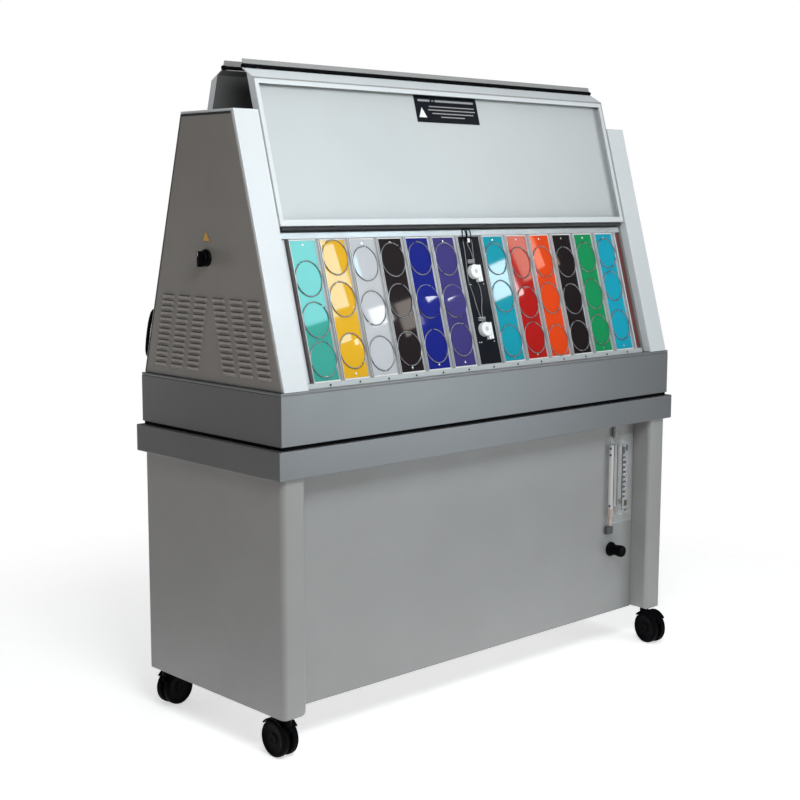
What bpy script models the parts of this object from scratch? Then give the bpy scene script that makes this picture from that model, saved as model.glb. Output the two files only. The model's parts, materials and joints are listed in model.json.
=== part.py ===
"""Ultraviolet weathering tester: an A-frame exposure chamber on a castered cabinet.

Metres, +Z up, front towards -Y. The origin is on the floor, under the middle of the machine.
Both chamber doors stand open, folded up against the sloping faces above the specimens.
"""
from math import cos, hypot, pi, radians, sin

import bmesh
import bpy
from mathutils import Matrix, Vector

# Overall sizes.
RIM_HALF_X, RIM_HALF_Y = 0.685, 0.271
RIM_BOTTOM, RIM_TOP = 0.630, 0.692
BAND_HALF_X, BAND_HALF_Y = 0.673, 0.263
BAND_BOTTOM, BAND_TOP = 0.700, 0.815
TOWER_TOP = 1.412
TOWER_SETBACK = 0.166            # how far a sloping face leans in, from the band to the tower top
TOWER_INNER_X, TOWER_OUTER_X = 0.597, 0.664
CHAMBER_HALF_X = 0.590           # what lies between the two end walls
CABINET_HALF_X, CABINET_HALF_Y = 0.671, 0.261
CABINET_BOTTOM = 0.098
FOOT_RADIUS = {-1: 0.020, 1: 0.006}   # rounding at the foot of the left and the right side's inner edges
FLOOR_PAN_Z = 0.107
COLUMN_INNER_X = 0.605           # inner face of the cabinet's corner columns
PANEL_FACE_Y = 0.207             # recessed front and rear panels
MAINS_GLAND = Vector((-0.45, PANEL_FACE_Y, 0.20))
SHEET = 0.002                    # folded sheet metal
GAP = 0.0004                     # between pieces that touch

# The sloping faces. u runs up the slope from the band's top edge, v runs outwards.
SLOPE_LENGTH = hypot(TOWER_SETBACK, TOWER_TOP - BAND_TOP)
LEAN_SIN = TOWER_SETBACK / SLOPE_LENGTH
LEAN_COS = (TOWER_TOP - BAND_TOP) / SLOPE_LENGTH
WALL_EDGE_V = -0.0215            # outer edge of the chamber's end walls
UPPER_PANEL_V = -0.024           # outer face of the fixed panel that the open door lies on
RACK_BACK_V, RACK_SIDE_V, RACK_LEDGE_V, RACK_RAIL_V = -0.045, -0.037, -0.029, -0.022
RACK_U = (0.003, 0.351)
HOLDER_U = (0.0173, 0.3367)
HOLDER_V = (-0.0285, -0.0265, -0.0190)   # back of the web, face of the web, flange tips

# Doors, as they lie open.
DOOR_HALF_X = 0.594
HINGE_U, HINGE_V = 0.357, -0.010
DOOR_LOW_U, DOOR_BEND_U, DOOR_END_U = 0.3615, 0.694, 0.724
DOOR_SKIN_V, DOOR_TIP_V = -0.0205, -0.002
DOOR_LIP = 0.0135                # inward return of the door's edges
SEAL_U, SEAL_V, SEAL_RADIUS = DOOR_END_U + 0.0048, -0.0325, 0.0044

# Specimen holders.
HOLDER_COUNT = 13
HOLDER_PITCH = 0.0868
HOLDER_HALF_X = 0.042
SENSOR_SLOT = 7                  # the seventh place from the left holds the sensor panel

# Casters: (name, column sides in x and y, direction that the wheels trail in degrees).
CASTERS = (
    ("front_left", -1, -1, 90.0),
    ("front_right", 1, -1, -100.0),
    ("rear_left", -1, 1, 8.0),
    ("rear_right", 1, 1, 60.0),
)
CASTER_X, CASTER_Y = 0.640, 0.231
CASTER_TRAIL = 0.024
WHEEL_RADIUS = 0.0425
WHEEL_SIDES = 24


# Placing functions: each maps three local lengths to a point in space.

def along_x(y, z, x):
    return Vector((x, y, z))


def along_y(x, z, y):
    return Vector((x, y, z))


def along_z(x, y, z):
    return Vector((x, y, z))


def on_slope(side):
    """(x, u, v) on the front (-1) or the rear (1) sloping face."""
    def place(x, u, v):
        y = BAND_HALF_Y - u * LEAN_SIN + v * LEAN_COS
        return Vector((x, side * y, BAND_TOP + u * LEAN_COS + v * LEAN_SIN))
    return place


def slope_section(side):
    """An outline of (u, v), extruded along x."""
    place = on_slope(side)
    return lambda u, v, x: place(x, u, v)


def slope_channel(side):
    """An outline of (x, v), extruded up the slope."""
    place = on_slope(side)
    return lambda x, v, u: place(x, u, v)


# Building functions.

MATERIALS = {}


def material(name, color, roughness, metallic=0.0):
    mat = bpy.data.materials.new(name)
    mat.use_nodes = True
    shader = mat.node_tree.nodes["Principled BSDF"]
    shader.inputs["Base Color"].default_value = (*color, 1.0)
    shader.inputs["Roughness"].default_value = roughness
    shader.inputs["Metallic"].default_value = metallic
    mat.diffuse_color = (*color, 1.0)
    MATERIALS[name] = mat


def solid(name, verts, faces, finish):
    """A closed body from points and faces, with its faces turned outwards."""
    bm = bmesh.new()
    points = [bm.verts.new(v) for v in verts]
    for face in faces:
        bm.faces.new([points[i] for i in face])
    bmesh.ops.recalc_face_normals(bm, faces=bm.faces)
    mesh = bpy.data.meshes.new(name)
    bm.to_mesh(mesh)
    bm.free()
    mesh.materials.append(MATERIALS[finish])
    obj = bpy.data.objects.new(name, mesh)
    bpy.context.collection.objects.link(obj)
    return obj


def prism(name, outline, place, lo, hi, finish):
    """An outline, extruded from lo to hi."""
    count = len(outline)
    verts = [place(a, b, lo) for a, b in outline] + [place(a, b, hi) for a, b in outline]
    faces = [list(range(count)), list(range(count, 2 * count))]
    faces += [[i, (i + 1) % count, count + (i + 1) % count, count + i] for i in range(count)]
    return solid(name, verts, faces, finish)


def block(name, a_range, b_range, c_range, place, finish):
    (a0, a1), (b0, b1) = a_range, b_range
    return prism(name, [(a0, b0), (a1, b0), (a1, b1), (a0, b1)], place, *c_range, finish)


def turned(name, profile, place, sides, finish):
    """A (radius, height) profile turned about its axis, with a flat facing the low side."""
    rings, verts, faces = [], [], []
    for radius, height in profile:
        if radius == 0:
            rings.append([len(verts)] * sides)
            verts.append(place(0, 0, height))
            continue
        rings.append(list(range(len(verts), len(verts) + sides)))
        for k in range(sides):
            angle = 2 * pi * (k + 0.5) / sides - pi / 2
            verts.append(place(radius * cos(angle), radius * sin(angle), height))
    for low, high in zip(rings, rings[1:]):
        for k in range(sides):
            corners = (low[k], low[(k + 1) % sides], high[(k + 1) % sides], high[k])
            faces.append(list(dict.fromkeys(corners)))
    return solid(name, verts, faces, finish)


def arc(cx, cy, radius, start, end, steps):
    """Points on an arc, by angles in degrees."""
    angles = (radians(start + (end - start) * i / steps) for i in range(steps + 1))
    return [(cx + radius * cos(a), cy + radius * sin(a)) for a in angles]


def combine(target, tool, operation):
    """Join a tool to a body, or cut it away. The tool itself is only a guide."""
    tool.hide_render = True
    tool.display_type = "WIRE"
    modifier = target.modifiers.new(tool.name, "BOOLEAN")
    modifier.operation = operation
    modifier.object = tool
    modifier.solver = "EXACT"


def cut(target, *tools):
    for tool in tools:
        combine(target, tool, "DIFFERENCE")


def unite(target, *tools):
    for tool in tools:
        combine(target, tool, "UNION")


def pivot(obj, point):
    """Put an object's origin on its joint's axis."""
    obj.data.transform(Matrix.Translation(-Vector(point)))
    obj.location = point
    return obj


def smooth(obj, angle=40.0):
    obj.data.shade_smooth()
    obj.data.set_sharp_from_angle(angle=radians(angle))
    return obj


def square_ring(name, half_x, half_y, profile, finish):
    """A closed (inset, z) profile swept round a rectangle, with mitred corners."""
    verts, faces = [], []
    for inset, z in profile:
        x, y = half_x - inset, half_y - inset
        verts += [Vector(p) for p in ((-x, -y, z), (x, -y, z), (x, y, z), (-x, y, z))]
    count = len(profile)
    for i in range(count):
        low, high = 4 * i, 4 * ((i + 1) % count)
        for k in range(4):
            n = (k + 1) % 4
            faces.append([low + k, low + n, high + n, high + k])
    return solid(name, verts, faces, finish)


# Cabinet.

def floor_pan():
    x_wide, x_step = CABINET_HALF_X - SHEET - GAP, COLUMN_INNER_X + SHEET + 2 * GAP
    y_wide, y_mid = CABINET_HALF_Y - 0.012, PANEL_FACE_Y - SHEET - 0.001 - GAP
    right = [(x_wide, y_wide - 0.020), (x_wide - 0.020, y_wide), (x_step, y_wide), (x_step, y_mid)]
    top = right + [(-x, y) for x, y in right[::-1]]
    outline = top + [(-x, -y) for x, y in top]
    return prism("floor_pan", outline, along_z, FLOOR_PAN_Z, FLOOR_PAN_Z + 0.004, "paint")


def cabinet_side(name, side):
    """A folded side: the outer wall, wrapped round two columns and back to the recessed panels."""
    big, small, steps = 0.013, 0.010, 5
    x1, y1, x0 = CABINET_HALF_X, CABINET_HALF_Y, COLUMN_INNER_X

    def path(inset):
        r_big, r_small = big - inset, small - inset
        xo, yo, xi = x1 - inset, y1 - inset, x0 + inset
        points = [(xi, PANEL_FACE_Y - SHEET - 0.001)]
        points += arc(xi + r_small, yo - r_small, r_small, 180, 90, steps)
        points += arc(xo - r_big, yo - r_big, r_big, 90, 0, steps)
        mirrored = [(x, -y) for x, y in points[::-1]]
        return points + mirrored

    outline = [(side * x, y) for x, y in path(0.0) + path(SHEET)[::-1]]
    obj = prism(name, outline, along_z, CABINET_BOTTOM, RIM_BOTTOM - GAP, "paint")
    radius, beyond = FOOT_RADIUS[side], 0.002
    corner = [(x0 - beyond, CABINET_BOTTOM - beyond), (x0 - beyond, CABINET_BOTTOM + radius)]
    corner += arc(x0 + radius, CABINET_BOTTOM + radius, radius, 180, 270, 6)
    corner += [(x0 + radius, CABINET_BOTTOM - beyond)]
    corner = [(side * x, z) for x, z in corner]
    for end in (-1, 1):
        ys = sorted((end * (PANEL_FACE_Y - 0.006), end * (CABINET_HALF_Y + 0.004)))
        cut(obj, prism(f"{name}_foot_cutter_{end}", corner, along_y, *ys, "paint"))
    return smooth(obj)


def cabinet_panel(name, side):
    x = COLUMN_INNER_X - GAP
    ys = sorted((side * PANEL_FACE_Y, side * (PANEL_FACE_Y - SHEET)))
    obj = block(name, (-x, x), (CABINET_BOTTOM, RIM_BOTTOM - GAP), ys, along_y, "paint")
    if side > 0:
        place = lambda a, b, h: MAINS_GLAND + Vector((a, h - SHEET / 2, b))
        gland = [(0, 0), (0.015, 0), (0.015, 0.009), (0.010, 0.011), (0.009, 0.024), (0, 0.024)]
        unite(obj, turned("mains_gland_form", gland, place, 12, "black_plastic"))
    return obj


def cabinet_rim():
    """The cabinet's top: a deck with a deep skirt, hemmed inwards at its lower edge."""
    obj = block("cabinet_rim", (-RIM_HALF_X, RIM_HALF_X), (-RIM_HALF_Y, RIM_HALF_Y),
                (RIM_BOTTOM, RIM_TOP), along_z, "paint")
    hem = 0.030
    for label, inset, zs in (("cavity", SHEET, (RIM_BOTTOM + SHEET, RIM_TOP - SHEET)),
                             ("mouth", hem, (RIM_BOTTOM - 0.001, RIM_BOTTOM + 0.004))):
        x, y = RIM_HALF_X - inset, RIM_HALF_Y - inset
        cut(obj, block(f"rim_{label}_cutter", (-x, x), (-y, y), zs, along_z, "paint"))
    return obj


def blower():
    """Chamber blower under the deck: a drum housing with a neck up to the deck."""
    centre = Vector((0.30, 0.0, 0.540))
    place = lambda a, b, h: centre + Vector((h, a, b))
    drum = [(0, -0.045), (0.070, -0.045), (0.070, 0.045), (0, 0.045)]
    obj = turned("blower", drum, place, 20, "dark_metal")
    motor = [(0, 0.040), (0.038, 0.040), (0.038, 0.110), (0, 0.110)]
    neck = block("blower_neck_form", (0.268, 0.332), (0.010, 0.066),
                 (0.545, RIM_TOP - SHEET - GAP), along_z, "dark_metal")
    unite(obj, turned("blower_motor_form", motor, place, 16, "dark_metal"), neck)
    return obj


# Chamber.

def base_band():
    top, low, ledge, foot = BAND_TOP, BAND_BOTTOM, 0.019, 0.030
    profile = [(0, low), (0, top - 0.0065), (0.0012, top - 0.0058), (0.0012, top - 0.0042),
               (0, top - 0.0035), (0, top), (ledge, top), (ledge, top - SHEET), (SHEET, top - SHEET),
               (SHEET, low + SHEET), (foot, low + SHEET), (foot, low)]
    return square_ring("chamber_base_band", BAND_HALF_X, BAND_HALF_Y, profile, "paint")


def rim_gasket():
    low, high = RIM_TOP + GAP, BAND_BOTTOM - GAP
    profile = [(0, low), (0, high), (0.020, high), (0.020, low)]
    return square_ring("rim_gasket", BAND_HALF_X - 0.003, BAND_HALF_Y - 0.003, profile, "black_rubber")


def water_pan():
    half_x, half_y, low, high = 0.560, 0.160, RIM_TOP + GAP, 0.765
    obj = block("water_pan", (-half_x, half_x), (-half_y, half_y), (low, high), along_z, "steel")
    x, y = half_x - SHEET, half_y - SHEET
    cut(obj, block("water_pan_cutter", (-x, x), (-y, y), (low + SHEET, high + 0.01), along_z, "steel"))
    return obj


def trapezoid(inset, low):
    """The tower's end outline in (y, z), drawn in by an inset on its slopes and its top."""
    top = TOWER_TOP - inset
    half = lambda z: BAND_HALF_Y - (z - BAND_TOP) * LEAN_SIN / LEAN_COS - inset / LEAN_COS
    return [(-half(low), low), (half(low), low), (half(top), top), (-half(top), top)]


def tower_shell(name, side):
    """One end tower: a folded box with hemmed edges round its open outer end."""
    low = BAND_TOP + GAP
    ends = lambda a, b: sorted((side * a, side * b))
    obj = prism(name, trapezoid(0, low), along_x, *ends(TOWER_INNER_X, TOWER_OUTER_X), "bright_paint")
    inner = ends(TOWER_INNER_X + SHEET, TOWER_OUTER_X - SHEET)
    cut(obj, prism(f"{name}_cavity_cutter", trapezoid(SHEET, low + SHEET), along_x, *inner, "paint"))
    mouth = ends(TOWER_OUTER_X - 0.004, TOWER_OUTER_X + 0.002)
    cut(obj, prism(f"{name}_mouth_cutter", trapezoid(0.022, low + 0.022), along_x, *mouth, "paint"))
    return obj


def tower_side_cover(name, side):
    xs = sorted((side * (TOWER_OUTER_X + GAP), side * (TOWER_OUTER_X + GAP + SHEET)))
    return prism(name, trapezoid(0.006, BAND_TOP + 0.003), along_x, *xs, "paint")


def chamber_wall(name, side):
    """The chamber's insulated end wall, between the two racks."""
    xs = sorted((side * (CHAMBER_HALF_X + 0.0005), side * (TOWER_INNER_X - GAP)))
    outline = trapezoid(-WALL_EDGE_V, BAND_TOP + GAP)
    return prism(name, outline, along_x, *xs, "silicone")


def top_cap():
    xs = (-CHAMBER_HALF_X, CHAMBER_HALF_X)
    return block("chamber_top_cap", xs, (-0.0755, 0.0755), (1.3992, 1.4032), along_z, "paint")


def upper_panel(name, side):
    vs = (UPPER_PANEL_V - 0.003, UPPER_PANEL_V)
    xs = (-CHAMBER_HALF_X, CHAMBER_HALF_X)
    return block(name, (0.3516, 0.6120), vs, xs, slope_section(side), "paint")


def rack_frame(name, side):
    """The frame that the specimen holders lie in: two stepped rails and two plain sides."""
    section = slope_section(side)
    low, high = RACK_U
    half, wide = CHAMBER_HALF_X, 0.5645
    rails = (
        [(low, RACK_BACK_V), (0.030, RACK_BACK_V), (0.030, RACK_LEDGE_V), (0.017, RACK_LEDGE_V),
         (0.017, RACK_RAIL_V), (low, RACK_RAIL_V)],
        [(high, RACK_BACK_V), (0.324, RACK_BACK_V), (0.324, RACK_LEDGE_V), (0.337, RACK_LEDGE_V),
         (0.337, RACK_RAIL_V), (high, RACK_RAIL_V)],
    )
    obj = prism(name, rails[0], section, -half, half, "rack_metal")
    unite(obj, prism(f"{name}_top_form", rails[1], section, -half, half, "rack_metal"))
    for end in (-1, 1):
        xs = sorted((end * half, end * wide))
        unite(obj, block(f"{name}_side_form_{end}", (low + 0.001, high - 0.001),
                         (RACK_BACK_V + 0.001, RACK_SIDE_V), xs, section, "rack_metal"))
    return obj


def channel(centre):
    """A holder's section in (x, v): a flat web with a flange on each side."""
    back, face, tip = HOLDER_V
    half, wall = HOLDER_HALF_X, 0.0018
    left, right = centre - half, centre + half
    return [(right, back), (right, tip), (right - wall, tip), (right - wall, face),
            (left + wall, face), (left + wall, tip), (left, tip), (left, back)]


def slot_x(index):
    """The middle of a holder's place, counted from 1 at the left."""
    return (index - (HOLDER_COUNT + 1) / 2) * HOLDER_PITCH


def front_holder(name, index):
    obj = prism(name, channel(slot_x(index)), slope_channel(-1), *HOLDER_U, "rack_metal")
    return pivot(obj, on_slope(-1)(slot_x(index), sum(HOLDER_U) / 2, HOLDER_V[1]))


def sensor_panel(name):
    """The panel that carries two round sensor heads in place of specimens."""
    middle = slot_x(SENSOR_SLOT)
    obj = front_holder(name, SENSOR_SLOT)
    place = on_slope(-1)
    for number, u in enumerate((0.246, 0.103)):
        at = lambda a, b, h, u=u: place(middle - 0.004 + a, u + b, h)
        head = [(0, HOLDER_V[1] - 0.001), (0.017, HOLDER_V[1] - 0.001), (0.017, -0.0130), (0, -0.0130)]
        unite(obj, turned(f"sensor_head_form_{number}", head, at, 16, "white_plastic"))
    return obj


def rear_holder_bank():
    """The rear specimen holders, joined side by side along their webs."""
    back, face, tip = HOLDER_V
    outline = []
    for index in range(HOLDER_COUNT, 0, -1):
        outline += channel(slot_x(index))[1:-1]
    edge = slot_x(HOLDER_COUNT) + HOLDER_HALF_X
    web = []
    for number, point in enumerate(outline):
        web.append(point)
        if number % 6 == 5 and number + 1 < len(outline):
            web += [(point[0], face), (outline[number + 1][0], face)]
    outline = [(edge, back)] + web + [(-edge, back)]
    return prism("rear_holder_bank", outline, slope_channel(1), *HOLDER_U, "rack_metal")


def lamp_bank(name, side):
    """Four ultraviolet lamps across the chamber, held by a socket bar at each end."""
    place, section = on_slope(side), slope_section(side)
    lamp_v, end_x = -0.100, CHAMBER_HALF_X
    bars = []
    for end in (-1, 1):
        xs = sorted((end * (end_x - 0.010), end * end_x))
        bars.append(block(f"{name}_bar_{end}", (0.022, 0.318), (lamp_v - 0.010, lamp_v + 0.010), xs,
                          section, "lamp"))
    obj = bars[0]
    obj.name = obj.data.name = name
    unite(obj, bars[1])
    for number in range(4):
        u = 0.050 + 0.080 * number
        at = lambda a, b, h, u=u: place(h, u + a, lamp_v + b)
        tube = [(0, -end_x + 0.004), (0.019, -end_x + 0.004), (0.019, end_x - 0.004), (0, end_x - 0.004)]
        unite(obj, turned(f"{name}_tube_{number}", tube, at, 12, "lamp"))
    return obj


def tower_conduit():
    """A short cable loop on the left tower's rear slope, held at both ends."""
    place = on_slope(1)
    x = -0.650
    route = [(0.150, GAP), (0.150, 0.006), (0.147, 0.016), (0.137, 0.023), (0.118, 0.0265), (0.095, 0.0275),
             (0.070, 0.0265), (0.046, 0.023), (0.036, 0.016), (0.033, 0.006), (0.033, GAP)]
    curve = bpy.data.curves.new("tower_conduit", "CURVE")
    curve.dimensions = "3D"
    curve.bevel_depth = 0.0045
    curve.bevel_resolution = 2
    curve.use_fill_caps = True
    spline = curve.splines.new("POLY")
    spline.points.add(len(route) - 1)
    for point, (u, v) in zip(spline.points, route):
        point.co = (*place(x, u, v), 1.0)
    curve.materials.append(MATERIALS["black_rubber"])
    obj = bpy.data.objects.new("tower_conduit", curve)
    bpy.context.collection.objects.link(obj)
    return obj


# Doors.

KNUCKLE_RADIUS, PIN_RADIUS = 0.0039, 0.0015
DOOR_KNUCKLES = ((-0.44, -0.36), (-0.04, 0.04), (0.36, 0.44))
FIXED_KNUCKLES = ((-0.585, -0.4405), (-0.3595, -0.0405), (0.0405, 0.3595), (0.4405, 0.585))


def door_hinge(name, side):
    """The fixed half of a door's long hinge: base strip, knuckles and pin in one piece."""
    section = slope_section(side)
    base_v = UPPER_PANEL_V + GAP
    obj = block(name, (0.3530, 0.3610), (base_v, base_v + SHEET), (-0.585, 0.585), section, "dark_metal")
    knuckle = arc(HINGE_U, HINGE_V, KNUCKLE_RADIUS, -60, 240, 8)
    knuckle += [(HINGE_U - 0.001, base_v + 0.001), (HINGE_U + 0.001, base_v + 0.001)]
    for number, (start, end) in enumerate(FIXED_KNUCKLES):
        unite(obj, prism(f"{name}_knuckle_{number}", knuckle, section, start, end, "dark_metal"))
    pin = arc(HINGE_U, HINGE_V, PIN_RADIUS, 0, 315, 7)
    unite(obj, prism(f"{name}_pin", pin, section, -0.584, 0.584, "dark_metal"))
    return obj


def door_pan(name, side):
    """A door: a shallow pan with inward returns, a slanting end flange and three hinge knuckles."""
    section = slope_section(side)
    wall = SHEET * 2 ** 0.5          # the slanting flange's thickness, measured along u
    line = DOOR_BEND_U + DOOR_TIP_V  # u + v on the slanting flange's outer face
    end_v = line - DOOR_END_U
    outline = [(DOOR_LOW_U, DOOR_TIP_V), (DOOR_LOW_U, DOOR_SKIN_V), (line - wall - DOOR_SKIN_V, DOOR_SKIN_V),
               (DOOR_END_U - wall / 2, end_v - wall / 2), (DOOR_END_U, end_v), (DOOR_BEND_U, DOOR_TIP_V)]
    obj = prism(name, outline, section, -DOOR_HALF_X, DOOR_HALF_X, "paint")
    low_v, high_v = DOOR_SKIN_V + SHEET, DOOR_TIP_V - SHEET
    cavity = [(DOOR_LOW_U + SHEET, high_v), (DOOR_LOW_U + SHEET, low_v),
              (line - wall - low_v, low_v), (line - wall - high_v, high_v)]
    x = DOOR_HALF_X - SHEET
    cut(obj, prism(f"{name}_cavity_cutter", cavity, section, -x, x, "paint"))
    x = DOOR_HALF_X - DOOR_LIP
    mouth_u = (DOOR_LOW_U + DOOR_LIP, DOOR_BEND_U - DOOR_LIP)
    cut(obj, block(f"{name}_mouth_cutter", mouth_u, (high_v - 0.001, 0.001), (-x, x), section, "paint"))
    tip = KNUCKLE_RADIUS * sin(radians(60))
    knuckle = arc(HINGE_U, HINGE_V, KNUCKLE_RADIUS, 60, 300, 6)
    knuckle += [(DOOR_LOW_U + 0.001, HINGE_V - tip), (DOOR_LOW_U + 0.001, HINGE_V + tip)]
    for number, (start, end) in enumerate(DOOR_KNUCKLES):
        unite(obj, prism(f"{name}_knuckle_{number}", knuckle, section, start, end, "paint"))
    bore = arc(HINGE_U, HINGE_V, PIN_RADIUS + 0.0006, 0, 315, 7)
    cut(obj, prism(f"{name}_bore_cutter", bore, section, -0.59, 0.59, "paint"))
    return pivot(obj, on_slope(side)(0, HINGE_U, HINGE_V))


def door_seal(name, side):
    """A rubber edge strip beyond the door's slanting flange."""
    outline = arc(SEAL_U, SEAL_V, SEAL_RADIUS, 22.5, 337.5, 7)
    obj = prism(name, outline, slope_section(side), -DOOR_HALF_X, DOOR_HALF_X, "black_rubber")
    return smooth(pivot(obj, on_slope(side)(0, HINGE_U, HINGE_V)), 60.0)


def door_handle(name, side):
    """The pull strip along the door's free edge."""
    us = (SEAL_U + SEAL_RADIUS + GAP, 0.7450)
    xs = (-CHAMBER_HALF_X, CHAMBER_HALF_X)
    obj = block(name, us, (-0.0345, -0.0310), xs, slope_section(side), "bright_paint")
    return pivot(obj, on_slope(side)(0, HINGE_U, HINGE_V))


# Casters.

def caster(name, side_x, side_y, trail_degrees):
    """A twin-wheel caster: a swivelling hood, and two wheels on one axle."""
    angle = radians(trail_degrees)
    trail = Vector((cos(angle), sin(angle), 0))
    axle = Vector((-sin(angle), cos(angle), 0))
    stem = Vector((side_x * CASTER_X, side_y * CASTER_Y, 0))
    wheel_z = WHEEL_RADIUS * cos(pi / WHEEL_SIDES)
    hub = stem + trail * CASTER_TRAIL + Vector((0, 0, wheel_z))
    at_hub = lambda a, b, h: hub + trail * a + axle * h + Vector((0, 0, b))
    at_stem = lambda a, b, h: stem + trail * a + axle * b + Vector((0, 0, h))

    web = 0.0045
    hood_radius, cover = WHEEL_RADIUS + 0.0045, WHEEL_RADIUS + 0.0015
    outline = arc(0, 0, hood_radius, 32, 148, 12)
    hood = prism(f"{name}_caster_hood", outline + [(-0.012, -0.010), (0.012, -0.010)],
                 at_hub, -web, web, "black_plastic")
    fender = arc(0, 0, hood_radius, 40, 140, 12) + arc(0, 0, cover, 140, 40, 12)
    unite(hood, prism(f"{name}_fender_form", fender, at_hub, -0.021, 0.021, "black_plastic"))
    foot, top = wheel_z + 0.032, FLOOR_PAN_Z - GAP
    post = [(0, foot), (0.012, foot), (0.012, 0.094), (0.006, 0.0945), (0.006, top), (0, top)]
    post_form = turned(f"{name}_post_form", post, at_stem, 12, "black_plastic")
    unite(hood, post_form)
    space = cover - 0.0002
    for end, (low, high) in (("near", (web, web + 0.0205)), ("far", (-web - 0.0205, -web))):
        room = [(0, low), (space, low), (space, high), (0, high)]
        cut(hood, turned(f"{name}_{end}_cutter", room, at_hub, 24, "black_plastic"))
    axle_hole = [(0, -0.010), (0.0048, -0.010), (0.0048, 0.010), (0, 0.010)]
    cut(hood, turned(f"{name}_bore_cutter", axle_hole, at_hub, 12, "black_plastic"))
    pivot(hood, stem)

    inner, outer, r = web + 0.0008, 0.0215, WHEEL_RADIUS
    half = [(0.004, inner), (r - 0.002, inner), (r, inner + 0.002), (r, outer - 0.003),
            (r - 0.003, outer), (0.014, outer), (0.013, outer - 0.002), (0, outer - 0.002)]
    profile = [(radius, -height) for radius, height in half[::-1]] + half
    wheels = turned(f"{name}_caster_wheels", profile, at_hub, WHEEL_SIDES, "black_rubber")
    pivot(wheels, hub)
    return smooth(hood), smooth(wheels)


# Controls.

METER_X, METER_Z = (0.484, 0.594), (0.345, 0.590)
TUBE_X, TUBE_BORE, TUBE_LOW = 0.533, 0.0065, 0.400
VALVE = Vector((0.512, -PANEL_FACE_Y, 0.276))
ISOLATOR = Vector((-(TOWER_OUTER_X + SHEET + GAP), 0.004, 1.091))


def flowmeter_body():
    """Back plate, a bored block for the float, and a clear side tube."""
    face = -PANEL_FACE_Y - GAP
    obj = block("flowmeter_body", METER_X, METER_Z, (face - 0.004, face), along_y, "clear_plastic")
    housing = block("flowmeter_housing_form", (TUBE_X - 0.0165, TUBE_X + 0.0165), (0.380, 0.565),
                    (face - 0.024, face - 0.002), along_y, "clear_plastic")
    at_side = lambda a, b, h: Vector((0.494 + a, face - 0.011 + b, h))
    side_tube = [(0, 0.365), (0.0065, 0.365), (0.0065, 0.578), (0, 0.578)]
    link = block("flowmeter_link_form", (0.490, 0.498), (0.366, 0.577), (face - 0.009, face - 0.002),
                 along_y, "clear_plastic")
    unite(obj, housing, link, turned("flowmeter_side_form", side_tube, at_side, 12, "clear_plastic"))
    at_bore = lambda a, b, h: Vector((TUBE_X + a, face - 0.013 + b, h))
    bore = [(0, TUBE_LOW), (TUBE_BORE, TUBE_LOW), (TUBE_BORE, 0.570), (0, 0.570)]
    cut(obj, turned("flowmeter_bore_cutter", bore, at_bore, 12, "clear_plastic"))
    return obj


def flowmeter_float():
    face = -PANEL_FACE_Y - GAP
    at = lambda a, b, h: Vector((TUBE_X + a, face - 0.013 + b, TUBE_LOW + GAP + h))
    profile = [(0, 0), (0.0025, 0.0), (0.0050, 0.010), (0.0050, 0.013), (0, 0.013)]
    obj = turned("flowmeter_float", profile, at, 10, "steel")
    return smooth(pivot(obj, at(0, 0, 0)))


def valve():
    """The air valve on the front panel: a flared bezel and a waisted knob."""
    at = lambda a, b, h: VALVE + Vector((a, -h, b))
    bezel = [(0, GAP), (0.0195, GAP), (0.0195, 0.005), (0.0165, 0.010), (0.0060, 0.0115), (0, 0.0115)]
    smooth(turned("valve_bezel", bezel, at, 20, "black_plastic"))
    base = 0.0119
    knob = [(0, base), (0.0148, base), (0.0144, 0.022), (0.0156, 0.027), (0.0156, 0.041), (0.0135, 0.044),
            (0, 0.044)]
    smooth(pivot(turned("valve_knob", knob, at, 20, "black_plastic"), at(0, 0, base)))


def isolator():
    """The mains isolator on the left tower: a round base and a rotary handle."""
    at = lambda a, b, h: ISOLATOR + Vector((-h, a, b))
    base = [(0, GAP), (0.019, GAP), (0.019, 0.005), (0.017, 0.007), (0, 0.007)]
    smooth(turned("isolator_base", base, at, 20, "black_plastic"))
    disc = [(0, 0.0074), (0.014, 0.0074), (0.0135, 0.0125), (0, 0.0125)]
    knob = turned("isolator_knob", disc, at, 20, "black_plastic")
    grip = [(-0.0045, -0.018), (0.0045, -0.018), (0.0045, 0.013), (0.002, 0.016), (-0.002, 0.016),
            (-0.0045, 0.013)]
    unite(knob, prism("isolator_grip_form", grip, at, 0.0080, 0.0240, "black_plastic"))
    smooth(pivot(knob, at(0, 0, 0.0074)))


# Assembly.

def make_materials():
    material("paint", (0.46, 0.47, 0.48), 0.45, 0.3)
    material("bright_paint", (0.70, 0.73, 0.75), 0.40, 0.3)
    material("rack_metal", (0.62, 0.63, 0.65), 0.35, 0.8)
    material("steel", (0.60, 0.60, 0.62), 0.30, 1.0)
    material("dark_metal", (0.10, 0.10, 0.11), 0.50, 0.4)
    material("black_plastic", (0.015, 0.015, 0.018), 0.45)
    material("black_rubber", (0.012, 0.012, 0.014), 0.60)
    material("silicone", (0.22, 0.06, 0.05), 0.60)
    material("lamp", (0.80, 0.80, 0.84), 0.25)
    material("clear_plastic", (0.75, 0.78, 0.80), 0.15)
    material("white_plastic", (0.85, 0.86, 0.86), 0.35)


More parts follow.
